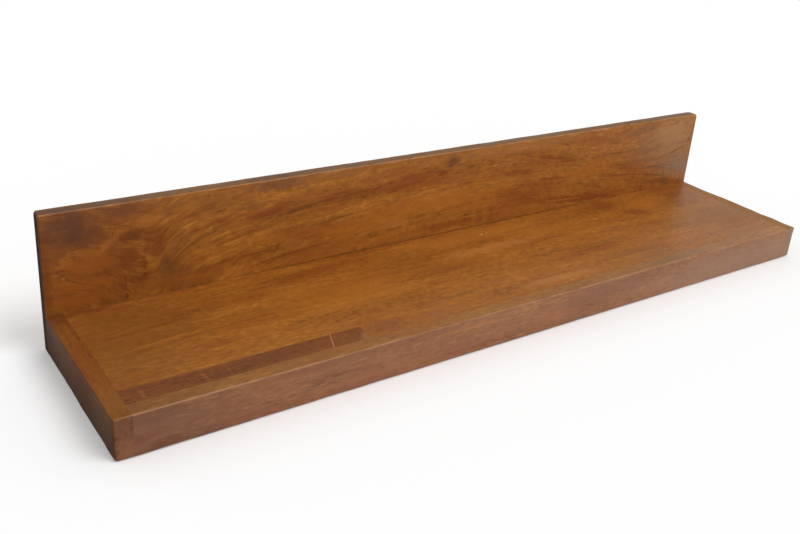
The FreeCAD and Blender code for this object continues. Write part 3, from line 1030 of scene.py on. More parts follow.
LINE_STAIN = Timber(
    light=(196, 138, 88), middle=(180, 120, 74), deep=(152, 96, 56), red=(172, 106, 66),
    worn=(190, 140, 90))
BARE_PINE = Timber(
    light=(222, 188, 136), middle=(206, 166, 112), deep=(170, 122, 72), red=(196, 142, 92),
    worn=(214, 180, 132), pore=0.15, red_share=0.2, mottle=0.5, wear=0.0, roughness=0.72,
    specular=0.15, saw_marks=0.05)
PANEL_STAIN = Timber(
    light=(150, 100, 54), middle=(126, 80, 42), deep=(94, 56, 30), red=(122, 66, 38),
    worn=(170, 126, 84), pore=0.45, wear=0.3, roughness=0.66, specular=0.15, saw_marks=0.02)
BARE_BEECH = Timber(
    light=(226, 190, 142), middle=(208, 168, 118), deep=(176, 130, 84), red=(202, 150, 106),
    worn=(220, 184, 136), pore=0.5, red_share=0.3, mottle=0.6, wear=0.0, roughness=0.6,
    specular=0.2)
YELLOW_ZINC = PlatedSteel(bright=(206, 186, 128), cloudy=(186, 150, 104), dark=(112, 92, 62))
WHITE_ZINC = PlatedSteel(bright=(198, 202, 204), cloudy=(164, 170, 174), dark=(104, 104, 102),
                         roughness=0.38)

BACK_FIGURE = Figure(
    seed=1.0, waver=5.0, streak=0.7, cloud=0.6, skin=10.0,
    heart=Heart(
        line=((0, 122), (110, 116), (200, 112), (260, 108), (330, 103), (450, 92), (520, 90),
              (680, 104), (760, 108), (830, 100), (900, 80)),
        sunk=((0, 30), (50, 48), (92, 66), (104, 68), (114, 62), (128, 50), (150, 36), (200, 22),
              (262, 14), (340, 8), (700, 8), (780, 18), (900, 46))),
    patches=(
        # The whole left end is deeper and redder.
        Patch(34, 55, 120, 95, (118, 63, 24), 0.72, cloudy=0.3),
        # Upper left: a plum-coloured cloud, a red shoulder and the light feathered edge of both.
        Patch(6, 20, 24, 34, (104, 60, 34), 0.6, core=0.0, streaky=0.2, cloudy=1.0),
        Patch(28, 14, 33, 40, (90, 54, 38), 0.8, core=0.0, streaky=0.1, cloudy=1.2),
        Patch(42, 30, 24, 14, (86, 50, 36), 0.6, core=0.0, streaky=0.1, cloudy=1.2),
        Patch(72, 10, 42, 20, (114, 62, 34), 0.6, core=0.0, streaky=0.2, cloudy=1.2),
        Patch(20, 53, 15, 8, AMBER, 0.24, slope=-0.9, streaky=2.2, cloudy=2.6),
        Patch(40, 44, 20, 7, AMBER, 0.22, slope=-0.1, streaky=2.2, cloudy=2.6),
        Patch(66, 35, 17, 8, AMBER, 0.3, slope=-0.7, streaky=2.2, cloudy=2.6),
        Patch(98, 24, 28, 8, AMBER, 0.3, slope=-0.06, streaky=2.2, cloudy=2.6),
        Patch(42, 57, 34, 14, (158, 86, 30), 0.6, cloudy=1.4),
        Patch(84, 34, 19, 7, WINE, 0.5, slope=-0.12, core=0.1, cloudy=1.6),
        Patch(108, 46, 19, 26, (118, 56, 20), 0.6, slope=0.2, core=0.1, streaky=0.4, cloudy=1.2),
        Patch(80, 60, 16, 16, (116, 56, 22), 0.5, cloudy=1.6),
        Patch(95, 68, 5, 18, WINE, 0.5, cloudy=1.6),
        Patch(96, 77, 8, 4.5, (98, 40, 14), 0.5, core=0.0),
        Patch(70, 54, 14, 1.8, RUST, 0.55, slope=0.5),
        # A painted glint: a small light spot on the varnish.
        Patch(18.5, 66, 2.2, 1.3, (200, 140, 80), 0.6),
        Patch(31, 73, 21, 1.3, UMBER, 0.55, slope=0.52, bend=-0.006),
        Patch(76, 84, 2, 16, WINE, 0.45),
        Patch(77, 97, 2.4, 5, UMBER, 0.7),
        Patch(34, 90, 36, 10, (156, 86, 30), 0.55, cloudy=1.4),
        Patch(38, 77, 46, 10, (176, 96, 30), 0.3, cloudy=0.8),
        Patch(4, 62, 6, 56, (104, 48, 18), 0.45),
        # The arc that opens to the right, and what follows it.
        Patch(136, 92, 56, 22, (126, 73, 30), 0.78, core=0.2, streaky=0.3, cloudy=1.0),
        Patch(126, 64, 30, 30, (120, 72, 32), 0.7, core=0.0, slope=-0.6, streaky=0.4),
        Patch(120, 72, 13, 15, (102, 65, 30), 0.6, core=0.0, streaky=0.4),
        Patch(136, 57, 24, 2.0, AMBER, 0.4, slope=-0.75, bend=0.006),
        Patch(168, 44, 44, 4, (112, 68, 28), 0.5, slope=-0.36, bend=0.0016),
        Patch(165, 18, 80, 22, PEAT, 0.4, core=0.0, cloudy=1.4),
        Patch(172, 36, 34, 4, RUST, 0.35, slope=-0.3, core=0.0),
        Patch(226, 37, 60, 8, (112, 54, 24), 0.6, slope=-0.2, core=0.0),
        Patch(262, 38, 66, 4.5, (92, 52, 24), 0.62, slope=-0.13, core=0.1),
        Patch(200, 56, 64, 3, RUST, 0.45, slope=-0.16, core=0.0),
        Patch(250, 66, 60, 8, HONEY, 0.45),
        Patch(308, 57, 38, 2.6, (110, 60, 18), 0.6, slope=-0.12),
        Patch(184, 82, 50, 5, RUST, 0.5, slope=-0.12, core=0.0),
        Patch(300, 93, 300, 12, (176, 102, 38), 0.38, core=0.0),
        Patch(640, 93, 280, 12, (166, 96, 36), 0.32, core=0.0),
        Patch(262, 78, 26, 9, (186, 122, 52), 0.4, cloudy=1.0),
        Patch(388, 77, 26, 9, (186, 122, 60), 0.4, cloudy=1.0),
        Patch(530, 74, 110, 9, (176, 104, 40), 0.36, cloudy=1.0),
        Patch(161, 77, 16, 2.5, HONEY, 0.5),
        Patch(155, 92, 40, 2.5, HONEY, 0.4, slope=0.04),
        Patch(250, 88, 60, 2.5, RUST, 0.5, slope=-0.12),
        Patch(240, 6, 46, 11, (100, 62, 38), 0.7, streaky=0.4, cloudy=1.6),
        Patch(206, 25, 26, 9, (112, 68, 36), 0.4, cloudy=1.2),
        Patch(96, 6, 62, 9, (104, 62, 38), 0.3, cloudy=1.2),
        Patch(290, 4, 130, 9, (140, 92, 54), 0.4, cloudy=1.2),
        # The middle: greyer along the top edge, red above gold.
        Patch(325, 32, 60, 9, RUST, 0.45),
        Patch(415, 30, 74, 13, (136, 64, 26), 0.6),
        Patch(464, 12, 17, 12, (98, 54, 34), 0.75, streaky=0.4, cloudy=1.5),
        Patch(449, 24, 9, 5, RUST, 0.6),
        Patch(492, 9, 12, 5, (108, 64, 40), 0.5),
        Patch(330, 72, 90, 14, HONEY, 0.5),
        Patch(450, 60, 130, 16, (180, 108, 36), 0.6),
        Patch(480, 92, 90, 6, RUST, 0.4),
        Patch(562, 40, 50, 7, BRICK, 0.5, slope=0.1, core=0.0),
        Patch(592, 76, 60, 15, BRICK, 0.42, slope=0.1, core=0.0),
        Patch(560, 53, 34, 4, HONEY, 0.5, slope=0.15),
        # The right: falling streaks, then the flame at the end, with a painted reflection over it.
        Patch(628, 29, 46, 3.6, RUST, 0.6, slope=0.17),
        Patch(658, 37, 30, 2.8, RUST, 0.6, slope=0.06),
        Patch(630, 57, 40, 3.4, RUST, 0.55, slope=0.1),
        Patch(745, 38, 56, 2.6, (104, 60, 24), 0.55, core=0.0),
        Patch(700, 56, 72, 13, (176, 104, 34), 0.5),
        Patch(690, 93, 110, 8, RUST, 0.6, slope=0.07),
        Patch(660, 91, 52, 1.3, AMBER, 0.55, slope=0.08),
        Patch(754, 71, 42, 2.2, RUST, 0.6, slope=0.08),
        Patch(790, 12, 34, 9, (122, 82, 42), 0.5, slope=-0.15),
        Patch(815, 28, 15, 3, (100, 68, 34), 0.75, slope=-0.5, core=0.1, streaky=0.8),
        Patch(833, 34, 7, 6, (120, 76, 46), 0.6, core=0.0),
        Patch(788, 38, 24, 2.4, (108, 64, 30), 0.6, slope=-0.02, core=0.1),
        Patch(836, 43, 26, 3, (112, 74, 42), 0.5, slope=-0.3, core=0.0),
        Patch(856, 53, 22, 2.6, (110, 80, 48), 0.6, slope=-0.28, core=0.0),
        Patch(836, 70, 24, 2.8, (100, 62, 34), 0.65, slope=0.26, core=0.1),
        Patch(800, 42, 50, 2.6, MOSS, 0.45, slope=-0.1, core=0.0),
        # Painted reflection: these pale, greyer patches at the right end stand for the varnish's
        # sheen.
        Patch(806, 36, 48, 44, (148, 106, 72), 0.4, core=0.0),
        Patch(858, 24, 56, 32, (174, 127, 79), 0.65, cloudy=1.0),
        Patch(882, 73, 46, 20, (134, 105, 88), 0.78, core=0.1, streaky=0.6, cloudy=1.2),
        Patch(820, 68, 50, 3.4, (96, 62, 34), 0.5, slope=0.06, core=0.0),
        Patch(862, 72, 34, 2.4, (96, 62, 38), 0.5, slope=0.3, core=0.0),
        Patch(866, 79, 34, 2.0, (98, 64, 40), 0.5, slope=0.32, core=0.0),
        Patch(800, 56, 70, 3.0, PEAT, 0.4, slope=0.02, core=0.0),
        Patch(560, 6, 170, 12, (164, 108, 58), 0.45, cloudy=1.0),
        # More painted reflection of the sheen at the right end.
        Patch(866, 58, 60, 56, (150, 114, 79), 0.46, core=0.1),
        Patch(866, 50, 17, 1.5, UMBER, 0.6, slope=-0.25),
        Patch(880, 46, 3, 2, UMBER, 0.8),
        Patch(822, 80, 50, 2.6, (92, 54, 22), 0.55, slope=0.16, core=0.0),
        Patch(846, 93, 66, 7, (114, 60, 22), 0.6, slope=0.12),
        # Painted shade: a dark line where the shelf's top meets the back board.
        Patch(450, 102, 480, 1.2, UMBER, 0.5)),
    ripples=(Ripple(262, 60, 56, 18, 3.6, 0.28), Ripple(230, 76, 120, 40, 3.2, 0.2),
             Ripple(50, 54, 44, 20, 3.2, 0.2),
             Ripple(84, 33, 36, 12, 2.6, 0.5), Ripple(250, 90, 90, 12, 3.4, 0.3),
             Ripple(780, 50, 60, 30, 4.2, 0.15)),
    # The top edge is darker and greyer, the left end face is near black with painted shade, the
    # right end is darker, and the rear is paler and greyer.
    sides=(Side(Axis.HEIGHT, 1, (0.47, 0.53, 0.55), 0.12),
           Side(Axis.LENGTH, -1, (0.1, 0.12, 0.15), 0.35),
           Side(Axis.LENGTH, 1, (0.4, 0.45, 0.5), 0.2),
           Side(Axis.DEPTH, 1, (1.1, 1.25, 1.8), 0.3)))

TOP_FIGURE = Figure(
    seed=20.0, waver=11.0, streak=0.55, cloud=0.8, lean=0.5,
    patches=(
        # The left end is deeper, with fine streaks that run to the front.
        Patch(50, 60, 110, 90, (124, 74, 30), 0.6),
        Patch(20, 120, 96, 62, (116, 73, 30), 0.5, core=0.0),
        Patch(30, 5, 50, 9, (104, 52, 24), 0.6),
        Patch(75, 61, 50, 4.5, RUST, 0.45, slope=-0.08),
        Patch(82, 88, 64, 1.8, AMBER, 0.4, slope=-0.12, bend=0.0006),
        Patch(60, 97, 50, 1.6, RUST, 0.5, slope=-0.13, bend=0.0008),
        Patch(104, 91, 44, 1.4, RUST, 0.4, slope=-0.05),
        Patch(172, 87, 44, 1.6, RUST, 0.4, slope=-0.05),
        # The middle: red by the back board, then gold, with small dark and light marks.
        Patch(275, 24, 80, 12, (132, 64, 24), 0.6, slope=-0.12),
        Patch(206, 113, 7, 3, COCOA, 0.5),
        Patch(217, 112, 4, 2, COCOA, 0.5),
        Patch(270, 80, 90, 40, HONEY, 0.5),
        Patch(420, 78, 60, 16, (142, 80, 26), 0.4),
        Patch(372, 138, 54, 3.2, (120, 78, 34), 0.6),
        Patch(450, 5, 24, 6, RUST, 0.4),
        Patch(535, 6, 16, 6, RUST, 0.4),
        Patch(440, 130, 30, 8, (142, 86, 42), 0.4),
        # Painted glints: two small pale specks on the varnish.
        Patch(500, 24, 3, 1.5, PAINTED_GLINT, 0.85, slope=-0.5),
        Patch(509, 23, 2, 1.2, PAINTED_GLINT, 0.85, slope=-0.5),
        Patch(590, 133, 12, 3, (116, 72, 34), 0.5),
        Patch(640, 146, 60, 1.5, BARK, 0.6, slope=-0.03),
        Patch(655, 155, 44, 1.4, BARK, 0.45, slope=-0.06),
        # The right: red clouds by the back board, and brown streaks in front of them.
        Patch(712, 22, 26, 28, (128, 64, 30), 0.6),
        Patch(738, 55, 24, 14, (128, 64, 28), 0.6, slope=0.4),
        Patch(715, 88, 46, 8, (136, 74, 32), 0.5, slope=0.15),
        Patch(772, 38, 30, 24, (176, 102, 34), 0.6),
        Patch(838, 28, 26, 14, (126, 62, 26), 0.5),
        Patch(850, 6, 76, 15, (122, 64, 24), 0.5, cloudy=1.2),
        Patch(800, 121, 66, 3.2, (124, 80, 42), 0.45, slope=0.12),
        Patch(850, 132, 28, 4, (128, 70, 38), 0.45, slope=0.12),
        # Broad tones over all of that.
        # Painted shade: the right end is darker and more saturated, to take back the varnish's
        # sheen there.
        Patch(850, 110, 160, 90, (128, 80, 18), 0.64, core=0.0, cloudy=0.4),
        Patch(655, 150, 74, 34, (122, 80, 38), 0.5, core=0.0, cloudy=1.0),
        Patch(490, 20, 150, 24, (188, 118, 44), 0.45),
        Patch(490, 59, 104, 14, (204, 134, 66), 0.42, cloudy=1.0),
        Patch(660, 82, 38, 12, (116, 70, 36), 0.35, cloudy=1.0),
        Patch(116, 2, 74, 4, (106, 60, 30), 0.5, cloudy=1.0),
        Patch(846, 46, 70, 26, (106, 66, 28), 0.34, cloudy=1.0),
        Patch(600, 45, 90, 20, (176, 108, 38), 0.4),
        # The left joint's dark edge, and a dark line of painted shade where the top meets the back
        # board.
        Patch(15, 93, 3, 100, UMBER, 0.25),
        Patch(450, 0, 480, 1.6, UMBER, 0.5)),
    ripples=(Ripple(130, 70, 190, 120, 2.7, 0.15), Ripple(420, 60, 200, 90, 3.1, 0.1)),
    sides=(Side(Axis.HEIGHT, -1, (1.2, 1.4, 2.2), 0.3),),
    joints=(Joint(Axis.LENGTH, -434, 0.18), Joint(Axis.LENGTH, 434, 0.1),
            Joint(Axis.DEPTH, -62, 0.2)))

FRONT_FIGURE = Figure(
    seed=40.0, waver=4.0, streak=0.4, cloud=0.6,
    patches=(
        # The left end is darker, with red clouds.
        Patch(20, 20, 130, 40, (114, 72, 50), 0.75),
        Patch(24, 6, 40, 9, (104, 66, 46), 0.5, cloudy=1.6),
        Patch(40, 38, 90, 5, (86, 58, 38), 0.5, core=0.0),
        Patch(14, 25, 26, 9, (108, 54, 38), 0.5, cloudy=1.6),
        Patch(44, 34, 20, 6, (104, 58, 34), 0.5, cloudy=1.6),
        # The middle: light and red streaks along the grain.
        Patch(145, 8, 40, 3, (160, 100, 56), 0.35, slope=0.03),
        Patch(190, 6, 190, 12, (122, 78, 50), 0.35, core=0.0),
        Patch(200, 18, 60, 3, (118, 66, 42), 0.45, slope=0.03),
        Patch(360, 10, 64, 2.6, (178, 116, 64), 0.5, slope=0.02),
        Patch(360, 33, 64, 4, (140, 74, 46), 0.45),
        Patch(240, 30, 90, 4, (158, 98, 60), 0.45),
        Patch(480, 26, 34, 9, (168, 100, 66), 0.45),
        # The right half is greyer: a painted reflection of the varnish's sheen.
        Patch(550, 12, 90, 14, (134, 92, 66), 0.5),
        Patch(800, 30, 250, 34, (152, 116, 92), 0.6),
        Patch(720, 10, 50, 5, (150, 104, 82), 0.4),
        Patch(676, -1, 100, 2.6, (108, 78, 56), 0.5, cloudy=1.0),
        Patch(884, 2, 5, 3, (196, 112, 60), 0.6)),
    sides=(Side(Axis.HEIGHT, 1, (1.0, 0.94, 0.36)), Side(Axis.HEIGHT, -1, (0.7, 0.7, 0.7), 0.3),
           Side(Axis.DEPTH, 1, (1.2, 1.4, 2.0), 0.3)),
    joints=(Joint(Axis.LENGTH, -434, 0.05), Joint(Axis.LENGTH, 434, 0.1),
            Joint(Axis.DEPTH, -84, 0.15)))

LEFT_END_FIGURE = Figure(
    seed=60.0, waver=2.0, streak=0.6, cloud=0.7,
    patches=(
        Patch(0, 8, 40, 34, (100, 50, 26), 0.6, core=0.0, streaky=0.3, cloudy=1.2),
        Patch(90, 8, 40, 20, (130, 70, 27), 0.4),
        Patch(160, 8, 50, 20, (136, 86, 36), 0.5),
        # A painted highlight on the front upright corner.
        Patch(187, 0, 5, 3, (144, 98, 46), 0.55)),
    # Painted shade: the outer face is darker, greyer below its top and darker still low down. The
    # front end grain is greyer and lighter towards the bottom; the underside is darker.
    sides=(Side(Axis.LENGTH, -1, (0.5, 0.455, 0.31), 0.1),
           Side(Axis.LENGTH, -1, (0.8, 1.05, 2.5), 0.1, fade=15.0),
           Side(Axis.LENGTH, -1, (0.6, 0.6, 0.6), fade=60.0),
           Side(Axis.DEPTH, -1, (0.8, 0.97, 2.6)),
           Side(Axis.DEPTH, -1, (1.34, 1.36, 1.4), fade=36.0),
           Side(Axis.HEIGHT, -1, (0.7, 0.7, 0.8), 0.3)),
    # The line at the back board is a dark joint on the outer face, and painted shade where the top
    # meets the back board.
    joints=(Joint(Axis.LENGTH, -434, 0.06), Joint(Axis.DEPTH, 86)))

RIGHT_END_FIGURE = Figure(
    seed=70.0, waver=2.0, streak=0.6, cloud=0.6,
    # Painted shade: the outer face is darker and greyer, like the left end's. A painted reflection
    # of the sheen makes the front end grain greyer; the underside is darker.
    sides=(Side(Axis.LENGTH, 1, (0.34, 0.38, 0.8), 0.15), Side(Axis.DEPTH, -1, (1.17, 1.68, 6.2)),
           Side(Axis.HEIGHT, -1, (0.6, 0.6, 0.7), 0.3)),
    # The line at the back board is a dark joint on the outer face, and painted shade where the top
    # meets the back board.
    joints=(Joint(Axis.LENGTH, 434, 0.1), Joint(Axis.DEPTH, 86)))

DARK_STRIP_FIGURE = Figure(
    seed=80.0, waver=2.0, streak=0.7, cloud=0.6,
    patches=(
        Patch(33, 160, 3, 12, (146, 90, 48), 0.4, core=0.0),
        Patch(88, 160, 3, 13, (150, 94, 48), 0.45, slope=2.0, core=0.0),
        Patch(110, 160, 2, 12, (150, 96, 52), 0.45, core=0.0),
        Patch(150, 158, 60, 7, (102, 52, 30), 0.4),
        Patch(120, 148.5, 120, 1.0, (150, 100, 52), 0.4, slope=-0.022),
        Patch(33, 152, 20, 3, (100, 56, 30), 0.4),
        Patch(253, 170, 15, 16, (146, 94, 46), 0.85, core=0.6, streaky=0.2, cloudy=0.2)),
    joints=(Joint(Axis.DEPTH, -84, 0.2), Joint(Axis.LENGTH, -200, 0.4)))

LIGHT_STRIP_FIGURE = Figure(
    seed=85.0, waver=6.0, streak=0.4, cloud=0.8,
    patches=(
        Patch(274, 158, 30, 14, (128, 74, 40), 0.65),
        Patch(335, 160, 44, 12, (146, 90, 52), 0.5),
        Patch(500, 156, 70, 10, (176, 118, 58), 0.6),
        Patch(655, 160, 60, 16, (124, 82, 46), 0.5, core=0.0),
        Patch(840, 160, 120, 16, (130, 90, 46), 0.5, core=0.0)),
    joints=(Joint(Axis.DEPTH, -84, 0.15),))


@dataclass(frozen=True)
class ArrisWear:
    """How far use has worn a board's outer arrises back.

    Attributes:
        step: The distance between the cuts across the board.
        reach: How far from the arris the wear goes.
        depth: How far wear of strength 1 moves the arris in from either face.
        ripple: The length of one uneven stretch.
        corners: The radii of the board's left and right upper corners.
        soft_angle: Edges flatter than this are shaded smooth.
    """

    step: float = 9.0
    reach: float = 3.4
    depth: float = 0.32
    ripple: float = 26.0
    corners: Span = (0.0, 0.0)
    soft_angle: float = math.radians(24)

    WELD: ClassVar[float] = 0.001
    SLIVER: ClassVar[float] = 0.01
    FLAT_ANGLE: ClassVar[float] = math.radians(0.4)
    CORNER_CUTS: ClassVar[Span] = (0.6, 1.0)
    FINER: ClassVar[int] = 4
    FINER_SHARE: ClassVar[float] = 0.5
    USUAL_WEAR: ClassVar[float] = 0.35
    MOST_WEAR: ClassVar[float] = 1.4

    def piece(self, node: str, arrises: Arrises, along: Axis) -> bpy.types.Object:
        """Make a board with uneven worn arrises that stands for a plain CAD board.

        Args:
            node: The CAD node.
            arrises: The outer edges.
            along: The way the board's length runs.

        Returns:
            The new piece.
        """
        work = bmesh.new()
        work.from_mesh(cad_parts[node].data)
        bmesh.ops.remove_doubles(work, verts=work.verts, dist=self.WELD * MM)
        bmesh.ops.dissolve_limit(work, angle_limit=self.FLAT_ANGLE, verts=work.verts,
                                 edges=work.edges)
        ends = [corner[along.value] * PER_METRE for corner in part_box(node)]
        self.cut_up(work, arrises, along, ends)
        for vertex in work.verts:
            point = vertex.co * PER_METRE
            vertex.co = (self.worn(point, arrises) + self.rounding(point, arrises)) * MM
        bmesh.ops.recalc_face_normals(work, faces=work.faces)
        for face in work.faces:
            face.smooth = True
        for edge in work.edges:
            edge.smooth = edge.is_manifold and edge.calc_face_angle() < self.soft_angle
        mesh = bpy.data.meshes.new(f"{node}_worn")
        work.to_mesh(mesh)
        work.free()
        return stand_in(f"{node}_worn", mesh, node)

    def cut_up(self, work: bmesh.types.BMesh, arrises: Arrises, along: Axis,
               ends: Sequence[float]) -> None:
        """Cut a board's faces finely enough to be worn.

        Args:
            work: The board's mesh.
            arrises: The outer edges.
            along: The way the board's length runs.
            ends: Where the board begins and ends along it, in millimetres.
        """
        first, last = ends
        count = max(1, round((last - first) / self.step))
        for at in range(1, count):
            self.cut(work, along, first + (last - first) * at / count)
        for axis in Axis:
            self.cut(work, axis, arrises.low[axis.value] + self.reach)
            self.cut(work, axis, arrises.high[axis.value] - self.reach)
        for end, inward, radius in zip((arrises.low[0], arrises.high[0]), (1, -1), self.corners):
            for share in self.CORNER_CUTS if radius else ():
                self.cut(work, Axis.LENGTH, end + inward * radius * share)
                self.cut(work, Axis.HEIGHT, arrises.high[2] - radius * share)
        bmesh.ops.remove_doubles(work, verts=work.verts, dist=self.SLIVER * MM)
        bmesh.ops.triangulate(work, faces=work.faces)

    def cut(self, work: bmesh.types.BMesh, axis: Axis, at: float) -> None:
        """Cut every face that a plane across an axis crosses.

        Args:
            work: The board's mesh.
            axis: The axis.
            at: Where the plane crosses it, in millimetres.
        """
        normal = Vector((0, 0, 0))
        normal[axis.value] = 1.0
        everything = work.verts[:] + work.edges[:] + work.faces[:]
        bmesh.ops.bisect_plane(work, geom=everything, dist=self.WELD * MM,
                               plane_co=normal * at * MM, plane_no=normal)

    def rounding(self, point: Vector, arrises: Arrises) -> Vector:
        """How far a point moves so that a board's upper corners are round.

        Args:
            point: The point on the sharp board, in millimetres.
            arrises: The outer edges.

        Returns:
            The move, which is nothing away from the corners.
        """
        outward = 1.0 if point[0] > 0 else -1.0
        end = arrises.high[0] if point[0] > 0 else arrises.low[0]
        radius = self.corners[1] if point[0] > 0 else self.corners[0]
        over = Vector((radius - abs(end - point[0]), radius - arrises.high[2] + point[2]))
        if min(over) <= 0:
            return Vector((0, 0, 0))
        back = over * (1 - max(over) / over.length)
        return Vector((-outward * back[0], 0, -back[1]))

    def worn(self, point: Vector, arrises: Arrises) -> Vector:
        """Where use has moved a point to.

        Args:
            point: The point on the sharp board, in millimetres.
            arrises: The outer edges.

        Returns:
            The point, moved into the board if it is near an outer arris.
        """
        near = []
        for axis in range(3):
            to_low, to_high = point[axis] - arrises.low[axis], arrises.high[axis] - point[axis]
            near.append((min(to_low, to_high), axis, 1.0 if to_low < to_high else -1.0))
        near.sort()
        reach = 1 - near[1][0] / self.reach
        if reach <= 0 or (arrises.foot is not None and point[2] < arrises.foot + self.reach):
            return point
        fine = noise.noise(point / (self.ripple / self.FINER))
        rough = noise.noise(point / self.ripple) + self.FINER_SHARE * fine
        move = self.depth * reach * min(self.MOST_WEAR, max(0.0, self.USUAL_WEAR + rough))
        moved = point.copy()
        for _, axis, inward in near[:2]:
            moved[axis] += inward * move
        return moved


def add_object(name: str, data: bpy.types.ID) -> bpy.types.Object:
    """Put a new object into the scene.

    Args:
        name: The object's name.
        data: Its mesh, camera or light.

    Returns:
        The object.
    """
    made = bpy.data.objects.new(name, data)
    bpy.context.scene.collection.objects.link(made)
    return made


def stand_in(name: str, mesh: bpy.types.Mesh, node: str) -> bpy.types.Object:
    """Make a piece that stands for a CAD node.

    Args:
        name: The piece's name.
        mesh: Its shape.
        node: The CAD node.

    Returns:
        The piece.
    """
    piece = add_object(name, mesh)
    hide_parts(node)
    return piece


def settle(piece: bpy.types.Object) -> bpy.types.Object:
    """Let a new piece move with the shelf.

    Args:
        piece: The piece.

    Returns:
        The same piece.
    """
    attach(piece, "root")
    return piece


def dress(piece: bpy.types.Object, material: bpy.types.Material) -> None:
    """Give a piece its one material."""
    piece.data.materials.clear()
    piece.data.materials.append(material)


def dress_nodes(nodes: Sequence[str], material: bpy.types.Material
                ) -> Iterator[bpy.types.Object]:
    """Give CAD pieces their one material.

    Args:
        nodes: The CAD nodes.
        material: The material.

    Returns:
        Each piece in turn, dressed.
    """
    for node in nodes:
        dress(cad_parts[node], material)
        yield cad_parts[node]


class SubAssembly:
    """Pieces of the shelf that are built or dressed together."""

    def build(self) -> Iterator[bpy.types.Object]:
        """Build or dress the pieces.

        Returns:
            Each piece in turn, finished.
        """
        raise NotImplementedError


@dataclass(frozen=True)
class BackBoard(SubAssembly):
    """The full-height board against the wall."""

    length: float = 900.0
    height: float = 143.0
    thickness: float = 14.0
    rear: float = 100.0
    shelf_top: float = 41.0
    finish: Timber = BACK_STAIN
    figure: Figure = BACK_FIGURE
    wear: ArrisWear = ArrisWear(corners=(2.4, 4.6))

    def build(self) -> Iterator[bpy.types.Object]:
        """Make the board.

        Returns:
            The board, worn and dressed.
        """
        front, half = self.rear - self.thickness, self.length / 2
        lay = Lay(Measure(Axis.LENGTH, 1, -half), Measure(Axis.HEIGHT, -1, self.height),
                  Measure(Axis.DEPTH, 1, front))
        outside = Arrises((-half, front, 0), (half, self.rear, self.height), self.shelf_top)
        piece = self.wear.piece("back_board", outside, Axis.LENGTH)
        # The pale arris line, rubbed stain with a painted highlight, lies on the upper arrises
        # only: the ends and the foot are set far off.
        upper = Arrises((-self.length, front, -half), (self.length, self.rear, self.height))
        dress(piece, self.finish.material("back wood", lay, self.figure, upper))
        yield settle(piece)


@dataclass(frozen=True)
class Shelf:
    """The boxed shelf's outer sizes, which its boards share.

    Attributes:
        length: Its length.
        front: Where its front face is.
        rear: Where it meets the back board.
        height: Its thickness, which is the height of its upper face.
        far: Where a covered face is set, so that it has no arris.
    """

    length: float = 900.0
    front: float = -100.0
    rear: float = 86.0
    height: float = 41.0
    far: float = 8100.0

    def outside(self) -> Arrises:
        """The whole box; the back board covers its rear."""
        half = self.length / 2
        return Arrises((-half, self.front, 0), (half, self.far, self.height))

    def long_outside(self) -> Arrises:
        """The same with only the front's arrises."""
        return Arrises((-self.length, self.front, 0), (self.length, self.far, self.height))

    def from_left(self) -> Measure:
        """Millimetres from the left end."""
        return Measure(Axis.LENGTH, 1, -self.length / 2)

    def from_right(self) -> Measure:
        """Millimetres from the right end."""
        return Measure(Axis.LENGTH, -1, self.length / 2)

    def from_rear(self) -> Measure:
        """Millimetres from the back board."""
        return Measure(Axis.DEPTH, -1, self.rear)

    def from_top(self) -> Measure:
        """Millimetres below the upper face."""
        return Measure(Axis.HEIGHT, -1, self.height)

    def top_lay(self) -> Lay:
        """Grain along the shelf, face up."""
        return Lay(self.from_left(), self.from_rear(), self.from_top())


SHELF = Shelf()


@dataclass(frozen=True)
class EndBoards(SubAssembly):
    """The two boards that close the ends of the shelf, their end grain showing in front."""

    left_finish: Timber = END_STAIN
    right_finish: Timber = RIGHT_END_STAIN
    left: Figure = LEFT_END_FIGURE
    right: Figure = RIGHT_END_FIGURE
    wear: ArrisWear = ArrisWear(reach=5.0, depth=0.7)

    def build(self) -> Iterator[bpy.types.Object]:
        """Make both boards.

        Returns:
            Each board in turn, worn and dressed.
        """
        for name, across, finish, figure in (
                ("left", SHELF.from_left(), self.left_finish, self.left),
                ("right", SHELF.from_right(), self.right_finish, self.right)):
            lay = Lay(SHELF.from_rear(), across, SHELF.from_top())
            piece = self.wear.piece(f"{name}_end_board", SHELF.outside(), Axis.DEPTH)
            material = finish.material(f"{name} end wood", lay, figure, SHELF.long_outside())
            dress(piece, material)
            yield settle(piece)


@dataclass(frozen=True)
class FrontBoard(SubAssembly):
    """The board along the front, between the end boards."""

    finish: Timber = FRONT_STAIN
    figure: Figure = FRONT_FIGURE
    wear: ArrisWear = ArrisWear()

    def build(self) -> Iterator[bpy.types.Object]:
        """Make the board.

        Returns:
            The board, worn and dressed.
        """
        lay = Lay(SHELF.from_left(), SHELF.from_top(), Measure(Axis.DEPTH, 1, SHELF.front))
        piece = self.wear.piece("front_board", SHELF.outside(), Axis.LENGTH)
        dress(piece, self.finish.material("front wood", lay, self.figure, SHELF.long_outside()))
        yield settle(piece)


@dataclass(frozen=True)
class TopBoard(SubAssembly):
    """The wide board of the upper face."""

    finish: Timber = STAIN
    figure: Figure = TOP_FIGURE

    def build(self) -> Iterator[bpy.types.Object]:
        """Dress the board, whose edges all meet other boards.

        Returns:
            The board.
        """
        material = self.finish.material("top wood", SHELF.top_lay(), self.figure,
                                        SHELF.long_outside())
        yield from dress_nodes(("top_board",), material)


